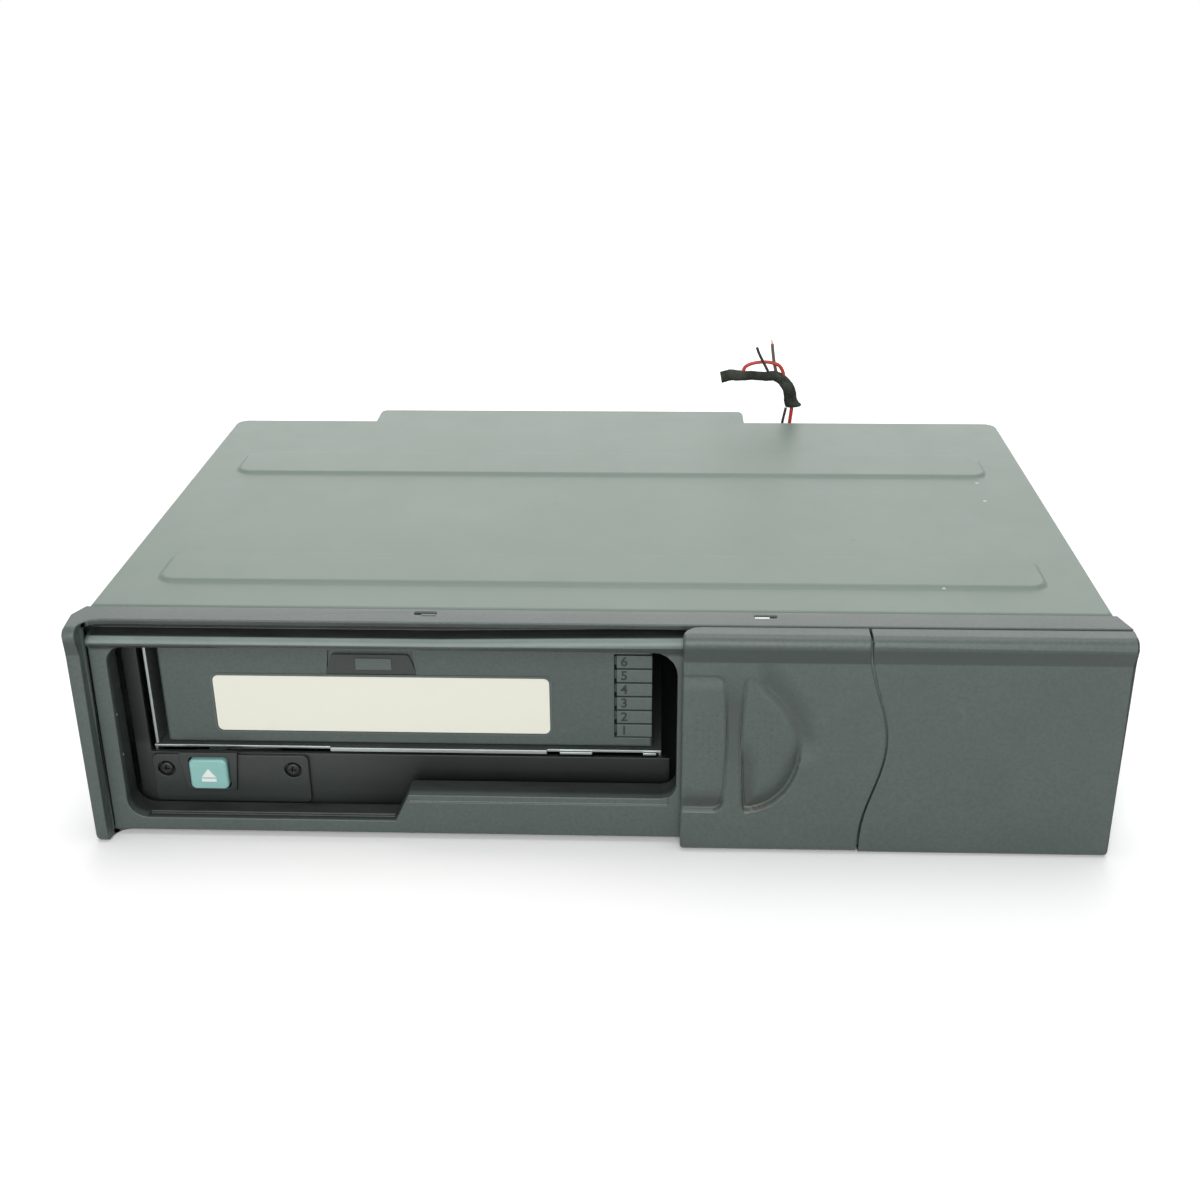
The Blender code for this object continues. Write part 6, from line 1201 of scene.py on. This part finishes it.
class Looks:
    """The finishes, each made once and shared by the pieces."""

    made = {}

    @classmethod
    def get(cls, name):
        if not cls.made:
            colours = bpy.context.scene.changer_colours
            cls.made = {
                "painted_steel": paint_finish(colours),
                "slate_plastic": fascia_finish(colours, window_shade=True),
                "dark_plastic": fascia_finish(colours, "dark_plastic", tuple(colours.dark), 0.8),
                "door_plastic": fascia_finish(colours, "door_plastic", dirt=(PAD_DIRT, MOON_DIRT)),
                "shell_plastic": fascia_finish(colours, "shell_plastic"),
                "sill_plastic": fascia_finish(colours, "sill_plastic", tuple(colours.dark), 0.8, shade=True),
                "tray_plastic": fascia_finish(colours, "tray_plastic", tuple(colours.tray), 0.7),
                "pale_plastic": ink_finish("pale_plastic", PALE, 0.3),
                "white_ink": ink_finish("white_ink", (0.9, 0.93, 0.92), 0.15),
                "dark_ink": ink_finish("dark_ink", (0.012, 0.014, 0.014), 0.3),
                "label_paper": paper_finish(colours),
                "black_screw": metal_finish("black_screw", (0.022, 0.023, 0.023), 0.34, 0.35),
                "teal_plastic": fascia_finish(colours, "teal_plastic", tuple(colours.button), 0.3),
                "zinc_steel": metal_finish("zinc_steel", tuple(colours.zinc)),
                "guide_steel": metal_finish("guide_steel", tuple(colours.zinc), shade_span=GUIDE_SHADE),
                "motor_steel": metal_finish("motor_steel", (0.42, 0.42, 0.41), 0.33, 0.9),
                "brass": metal_finish("brass", (0.62, 0.47, 0.22), 0.3, 0.95),
                "black_rubber": rubber_finish(),
                "board_green": board_finish(),
                "red_cable": wire_finish("red_cable", (0.50, 0.035, 0.022)),
                "black_cable": wire_finish("black_cable", (0.018, 0.018, 0.018)),
                "copper_wire": metal_finish("copper_wire", (0.72, 0.36, 0.20), 0.35, 0.8),
                "grey_cable": wire_finish("grey_cable", (0.11, 0.095, 0.075), 0.5),
                "cloth_tape": tape_finish(),
            }
        return cls.made[name]


def finish_nodes(nodes, width, segments=EDGE_SEGMENTS):
    """Softened copies of several CAD nodes, each in the finish that the record names."""
    for node in nodes:
        softened(node, width, segments=segments)


class CHANGER_OT_cover(Operator):
    """Pressed top cover and the cap over the rear connectors"""

    bl_idname = "changer.cover"
    bl_label = "Top cover and rear cap"

    def execute(self, context):
        finish_nodes(["top_cover", "rear_cap"], PRESSED_EDGE, PRESSED_SEGMENTS)
        heights = (COVER_TOP - TAB_HEIGHT, COVER_TOP + TAB_PROUD)
        for name, side, look in SNAP_TABS:
            span = sorted((side * TAB_INNER, side * TAB_OUTER))
            tab = block([span, (TAB_FRONT, TAB_REAR), heights], TAB_PROUD / 2)
            add_piece(name, tab, look, node_body("front_bezel"), slot="slate_plastic")
        return {"FINISHED"}


class CHANGER_OT_chassis(Operator):
    """Chassis pan, its side walls and feet"""

    bl_idname = "changer.chassis"
    bl_label = "Chassis pan"

    def execute(self, context):
        finish_nodes(["chassis_pan"], context.scene.changer_sizes.sheet_edge)
        return {"FINISHED"}


class CHANGER_OT_bezel(Operator):
    """Front bezel with its window frame, and the fixed cover at the right"""

    bl_idname = "changer.bezel"
    bl_label = "Front bezel"

    def execute(self, context):
        for node in ("front_bezel", "right_front_cover"):
            softened(node, context.scene.changer_sizes.edge, reshape=sink_brow)
        return {"FINISHED"}


class CHANGER_OT_door(Operator):
    """Sliding door: the grip leaf that shows and the leaf behind it"""

    bl_idname = "changer.door"
    bl_label = "Sliding door"

    def execute(self, context):
        sizes = context.scene.changer_sizes
        stand_in("door_grip_leaf", door_skin(sizes), "door_plastic")
        body = node_body("door_grip_leaf")
        slot = record_slot("door_grip_leaf")
        add_piece("door_grip_pips", door_pips(sizes), "door_plastic", body, slot=slot)
        finish_nodes(["door_inner_leaf"], sizes.edge)
        return {"FINISHED"}


class CHANGER_OT_eject(Operator):
    """Eject cover, its button with the eject sign, and its two screws"""

    bl_idname = "changer.eject"
    bl_label = "Eject panel"

    def execute(self, context):
        sizes = context.scene.changer_sizes
        softened("bay_sill", sizes.sheet_edge, "sill_plastic", reshape=quarter_faces)
        softened("eject_cover", sizes.sheet_edge, reshape=quarter_faces)
        finish_nodes(["eject_button"], sizes.edge)
        body = node_body("eject_button")
        front = BUTTON_FRONT - SIGN_THICKNESS
        left = BUTTON_X - SIGN_WIDTH / 2
        right = BUTTON_X + SIGN_WIDTH / 2
        low, high = SIGN_ARROW
        arrow = [(left, front, low), (right, front, low), (BUTTON_X, front, high)]
        sign = plate(upright_rectangle((left, right), front, SIGN_BAR), 0, SIGN_THICKNESS)
        join(sign, plate(arrow, 0, SIGN_THICKNESS))
        add_piece("eject_sign", sign, "white_ink", body, slot=record_slot("eject_button"), smooth=False)
        for node in COVER_SCREWS:
            low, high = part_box(node)
            centre = middle_of(node)
            centre.y = low[1]
            screw = cross_screw(centre, high[1] - low[1])
            soften(stand_in(node, screw, "black_screw"), SCREW_EDGE)
        return {"FINISHED"}


class CHANGER_OT_magazine(Operator):
    """Disc magazine with its label and six numbered trays"""

    bl_idname = "changer.magazine"
    bl_label = "Magazine"

    def execute(self, context):
        sizes = context.scene.changer_sizes
        trays = [f"disc_tray_{number}" for number in range(1, TRAY_COUNT + 1)]
        softened("magazine_shell", sizes.sheet_edge, "shell_plastic")
        finish_nodes(trays, sizes.sheet_edge)
        body = node_body("magazine_shell")
        slot = record_slot("magazine_shell")
        front = MAGAZINE_FACE - LABEL_THICKNESS
        across, up = LABEL_SPANS
        label = plate(upright_rectangle(across, front, up), LABEL_CORNER, LABEL_THICKNESS)
        add_piece("magazine_label", label, "label_paper", body, slot=slot, smooth=False)
        front = MAGAZINE_FACE - RIM_HEIGHT
        across, up = [(low - LABEL_RIM, high + LABEL_RIM) for low, high in LABEL_SPANS]
        border = LABEL_RIM - CELL_LINE
        rim = plate(upright_rectangle(across, front, up), LABEL_CORNER + LABEL_RIM, RIM_HEIGHT, border)
        add_piece("magazine_label_rim", rim, "tray_plastic", body, slot=slot, smooth=False)
        corners = [(x * MM, front, z * MM) for x, z in THUMB_CORNERS]
        thumb = plate(corners, THUMB_CORNER_RADIUS, RIM_HEIGHT)
        add_piece("magazine_thumb_rest", thumb, "dark_plastic", body, slot=slot, smooth=False)
        front -= RIM_HEIGHT
        across, up = THUMB_TAB_SPANS
        tab = plate(upright_rectangle(across, front, up), CELL_LINE, RIM_HEIGHT * 2)
        add_piece("magazine_thumb_tab", tab, "tray_plastic", body, slot=slot, smooth=False)
        for index, tray in enumerate(trays):
            height = TRAY_LOW + TRAY_PITCH * index + TRAY_PITCH / 2 - CELL_LINE
            place = (NUMERAL_X, MAGAZINE_FACE, height)
            figure = numeral(str(index + 1), sizes.digit_height, place)
            name = f"tray_number_{index + 1}"
            add_piece(name, figure, "dark_ink", node_body(tray), slot=record_slot(tray), smooth=False)
        return {"FINISHED"}


class CHANGER_OT_bay(Operator):
    """Steel floor, guide, latch and ejector that the magazine runs on"""

    bl_idname = "changer.bay"
    bl_label = "Magazine bay"

    def execute(self, context):
        edge = context.scene.changer_sizes.sheet_edge
        finish_nodes(["magazine_floor_plate", "latch_lever", "magazine_ejector"], edge)
        softened("magazine_guide", edge, "guide_steel", reshape=spread_guide)
        coat_node("magazine_eject_spring", "zinc_steel")
        return {"FINISHED"}


class CHANGER_OT_lift(Operator):
    """Lifting frame with its plates, cams, gears and motor"""

    bl_idname = "changer.lift"
    bl_label = "Lift"

    def execute(self, context):
        edge = context.scene.changer_sizes.sheet_edge
        finish_nodes(["lift_frame", "front_post_plate", "rear_post_plate"], edge)
        finish_nodes(["lift_cam_front", "lift_cam_rear"], edge)
        finish_nodes(["lift_gear", "motor_pinion", "lift_motor"], edge / 2)
        return {"FINISHED"}


class CHANGER_OT_player(Operator):
    """Disc drive on its damped deck: spindle, turntable, pickup and their motors"""

    bl_idname = "changer.player"
    bl_label = "Disc drive"

    def execute(self, context):
        edge = context.scene.changer_sizes.sheet_edge
        finish_nodes([f"deck_damper_{number}" for number in range(1, 5)], edge)
        finish_nodes(["drive_deck", "spindle_motor", "turntable", "pickup_sled", "sled_motor"], edge)
        finish_nodes(["sled_rod_front", "sled_rod_rear", "sled_lead_screw"], edge / 2)
        return {"FINISHED"}


class CHANGER_OT_tray_drive(Operator):
    """Slider that pulls a tray out, with its screw and motor"""

    bl_idname = "changer.tray_drive"
    bl_label = "Tray drive"

    def execute(self, context):
        edge = context.scene.changer_sizes.sheet_edge
        finish_nodes(["tray_drive_screw", "tray_drive_motor", "tray_slider"], edge / 2)
        return {"FINISHED"}


class CHANGER_OT_board(Operator):
    """Main circuit board under the magazine"""

    bl_idname = "changer.board"
    bl_label = "Circuit board"

    def execute(self, context):
        finish_nodes(["main_circuit_board"], context.scene.changer_sizes.sheet_edge)
        return {"FINISHED"}


def bundle_radius(share, angle, turns):
    """The taped bundle's radius: fuller at its ends, stepped by the tape, with a lump where it starts."""
    place = share * (len(BUNDLE_SHARES) - 1)
    index = min(int(place), len(BUNDLE_SHARES) - 2)
    fullness = BUNDLE_SHARES[index] + (BUNDLE_SHARES[index + 1] - BUNDLE_SHARES[index]) * (place - index)
    wound = (share * turns + angle / math.tau) % 1.0
    lumps = BUNDLE_LUMP * math.sin(LUMPS_ROUND * share + angle) * math.sin(LUMPS_ALONG * share)
    fullness *= 1 + TAPE_STEP_SHARE * (wound - 0.5) + lumps
    lump = LUMP_RISE * bell(share, LUMP_LENGTH_SHARE) * max(-math.sin(angle), 0) ** 2
    return BUNDLE_DIAMETER / 2 * fullness + lump


class CHANGER_OT_harness(Operator):
    """Cut-off harness: two wires into a taped bundle"""

    bl_idname = "changer.harness"
    bl_label = "Harness"

    def execute(self, context):
        coat_node("cable_entry", "black_rubber")
        turns = context.scene.changer_sizes.tape_turns
        stubs = []
        for name, look, diameter_mm, route in STUB_ROUTES_MM:
            radius = diameter_mm * MM / 2
            stub = tube(smooth_route(route), lambda share, angle: radius, STUB_SIDES)
            body = node_body("harness_taped_bundle")
            stubs.append(add_piece(name, stub, look, body, slot=STUB_SLOTS[look]))
        cords = [
            ("harness_red_wire", RED_ROUTE_MM, RED_DIAMETER, "object", []),
            ("harness_black_wire", BLACK_ROUTE_MM, BLACK_DIAMETER, "object", []),
            ("harness_taped_bundle", BUNDLE_ROUTE_MM, BUNDLE_DIAMETER, "bare", stubs),
        ]
        for node, route, diameter, far_end, carried in cords:
            points = smooth_route(route)
            if carried:
                bm = tube(points, lambda share, angle: bundle_radius(share, angle, turns), BUNDLE_SIDES)
            else:
                bm = tube(points, lambda share, angle: diameter / 2)
            stand_in(node, bm)
            route_length(points)
        return {"FINISHED"}


class CHANGER_OT_stage(Operator):
    """Pale floor, soft light and the camera"""

    bl_idname = "changer.stage"
    bl_label = "Stage"

    def execute(self, context):
        make_floor()
        make_world()
        for lamp in LAMPS:
            add_lamp(*lamp)
        make_camera()
        context.scene.view_settings.view_transform = "Standard"
        return {"FINISHED"}


def make_floor():
    """A white floor that keeps the object's shadow."""
    bm = bmesh.new()
    bmesh.ops.create_grid(bm, x_segments=2, y_segments=2, size=FLOOR_SIZE / 2)
    floor = linked_mesh("studio_floor", bm)
    finish = Finish("studio_floor", Specular_IOR_Level=0.0)
    rays = finish.node("ShaderNodeLightPath", {}, {}, "Is Camera Ray")
    glossy = finish.node("ShaderNodeLightPath", {}, {}, "Is Glossy Ray")
    paper = finish.noise(*FLOOR_PATTERN) * FLOOR_UNEVENNESS
    seen = 1.0 - (1.0 - rays) * (1.0 - glossy)
    far = finish.fade(finish.distance((0, 0, 0)), FLOOR_NEAR, FLOOR_FAR)
    white = finish.mix(far, (FLOOR_NEAR_WHITE,) * 3, (FLOOR_FAR_WHITE,) * 3)
    finish.set("Base Color", finish.mix(seen, (FLOOR_BOUNCE,) * 3, white))
    finish.set("Roughness", FLOOR_ROUGHNESS + paper)
    set_material(floor, finish.material)


def make_world():
    """White surroundings: full white to the camera and in reflections, softer as a light."""
    world = bpy.data.worlds.new("studio")
    bpy.context.scene.world = world
    world.use_nodes = True
    nodes = world.node_tree.nodes
    links = world.node_tree.links
    back = nodes["Background"]
    rays = nodes.new("ShaderNodeLightPath")
    seen = nodes.new("ShaderNodeMath")
    seen.operation = "MAXIMUM"
    strength = nodes.new("ShaderNodeMapRange")
    strength.inputs["To Min"].default_value = WORLD_LIGHT
    strength.inputs["To Max"].default_value = 1.0
    links.new(rays.outputs["Is Camera Ray"], seen.inputs[0])
    links.new(rays.outputs["Is Glossy Ray"], seen.inputs[1])
    links.new(seen.outputs["Value"], strength.inputs["Value"])
    back.inputs["Color"].default_value = (1.0, 1.0, 1.0, 1.0)
    links.new(strength.outputs["Result"], back.inputs["Strength"])


def add_lamp(name, place, size, watts):
    """A square soft lamp that faces the object and doesn't show itself."""
    data = bpy.data.lights.new(name, "AREA")
    data.size = size
    data.energy = watts
    lamp = linked(name, data)
    lamp.visible_camera = False
    aim = Vector(TARGET) - Vector(place)
    lamp.matrix_world = Matrix.Translation(place) @ aim.to_track_quat("-Z", "Y").to_matrix().to_4x4()


def make_camera():
    """The camera at the photograph's place and angle."""
    data = bpy.data.cameras.new("photo_camera")
    data.lens = CAMERA_LENS
    data.sensor_width = SENSOR_WIDTH
    data.clip_start = CLIP_NEAR
    data.clip_end = CLIP_FAR
    camera = linked("photo_camera", data)
    yaw = Matrix.Rotation(math.radians(-CAMERA_YAW_DEGREES), 4, "Z")
    tilt = Matrix.Rotation(math.radians(90 - CAMERA_DOWN_DEGREES), 4, "X")
    roll = Matrix.Rotation(math.radians(CAMERA_ROLL_DEGREES), 4, "Z")
    camera.matrix_world = Matrix.Translation(CAMERA_PLACE) @ yaw @ tilt @ roll
    bpy.context.scene.camera = camera


STEPS = [
    CHANGER_OT_harness, CHANGER_OT_cover, CHANGER_OT_chassis, CHANGER_OT_bezel, CHANGER_OT_door,
    CHANGER_OT_eject, CHANGER_OT_magazine, CHANGER_OT_bay, CHANGER_OT_lift, CHANGER_OT_player,
    CHANGER_OT_tray_drive, CHANGER_OT_board, CHANGER_OT_stage,
]


class CHANGER_PT_steps(Panel):
    """Sidebar list of the steps that build the changer"""

    bl_label = "Disc changer"
    bl_space_type = "VIEW_3D"
    bl_region_type = "UI"
    bl_category = "Disc Changer"

    def draw(self, context):
        for step in STEPS:
            self.layout.operator(step.bl_idname)


def register():
    """Makes the settings, steps and panel known to Blender."""
    for item in (ChangerSizes, ChangerColours, *STEPS, CHANGER_PT_steps):
        bpy.utils.register_class(item)
    bpy.types.Scene.changer_sizes = PointerProperty(type=ChangerSizes)
    bpy.types.Scene.changer_colours = PointerProperty(type=ChangerColours)


def unregister():
    """Takes the settings, steps and panel out of Blender."""
    del bpy.types.Scene.changer_colours
    del bpy.types.Scene.changer_sizes
    for item in reversed((ChangerSizes, ChangerColours, *STEPS, CHANGER_PT_steps)):
        bpy.utils.unregister_class(item)


def main():
    """Builds every piece."""
    register()
    for step in STEPS:
        group, name = step.bl_idname.split(".")
        getattr(getattr(bpy.ops, group), name)()


if __name__ == "__main__":
    main()
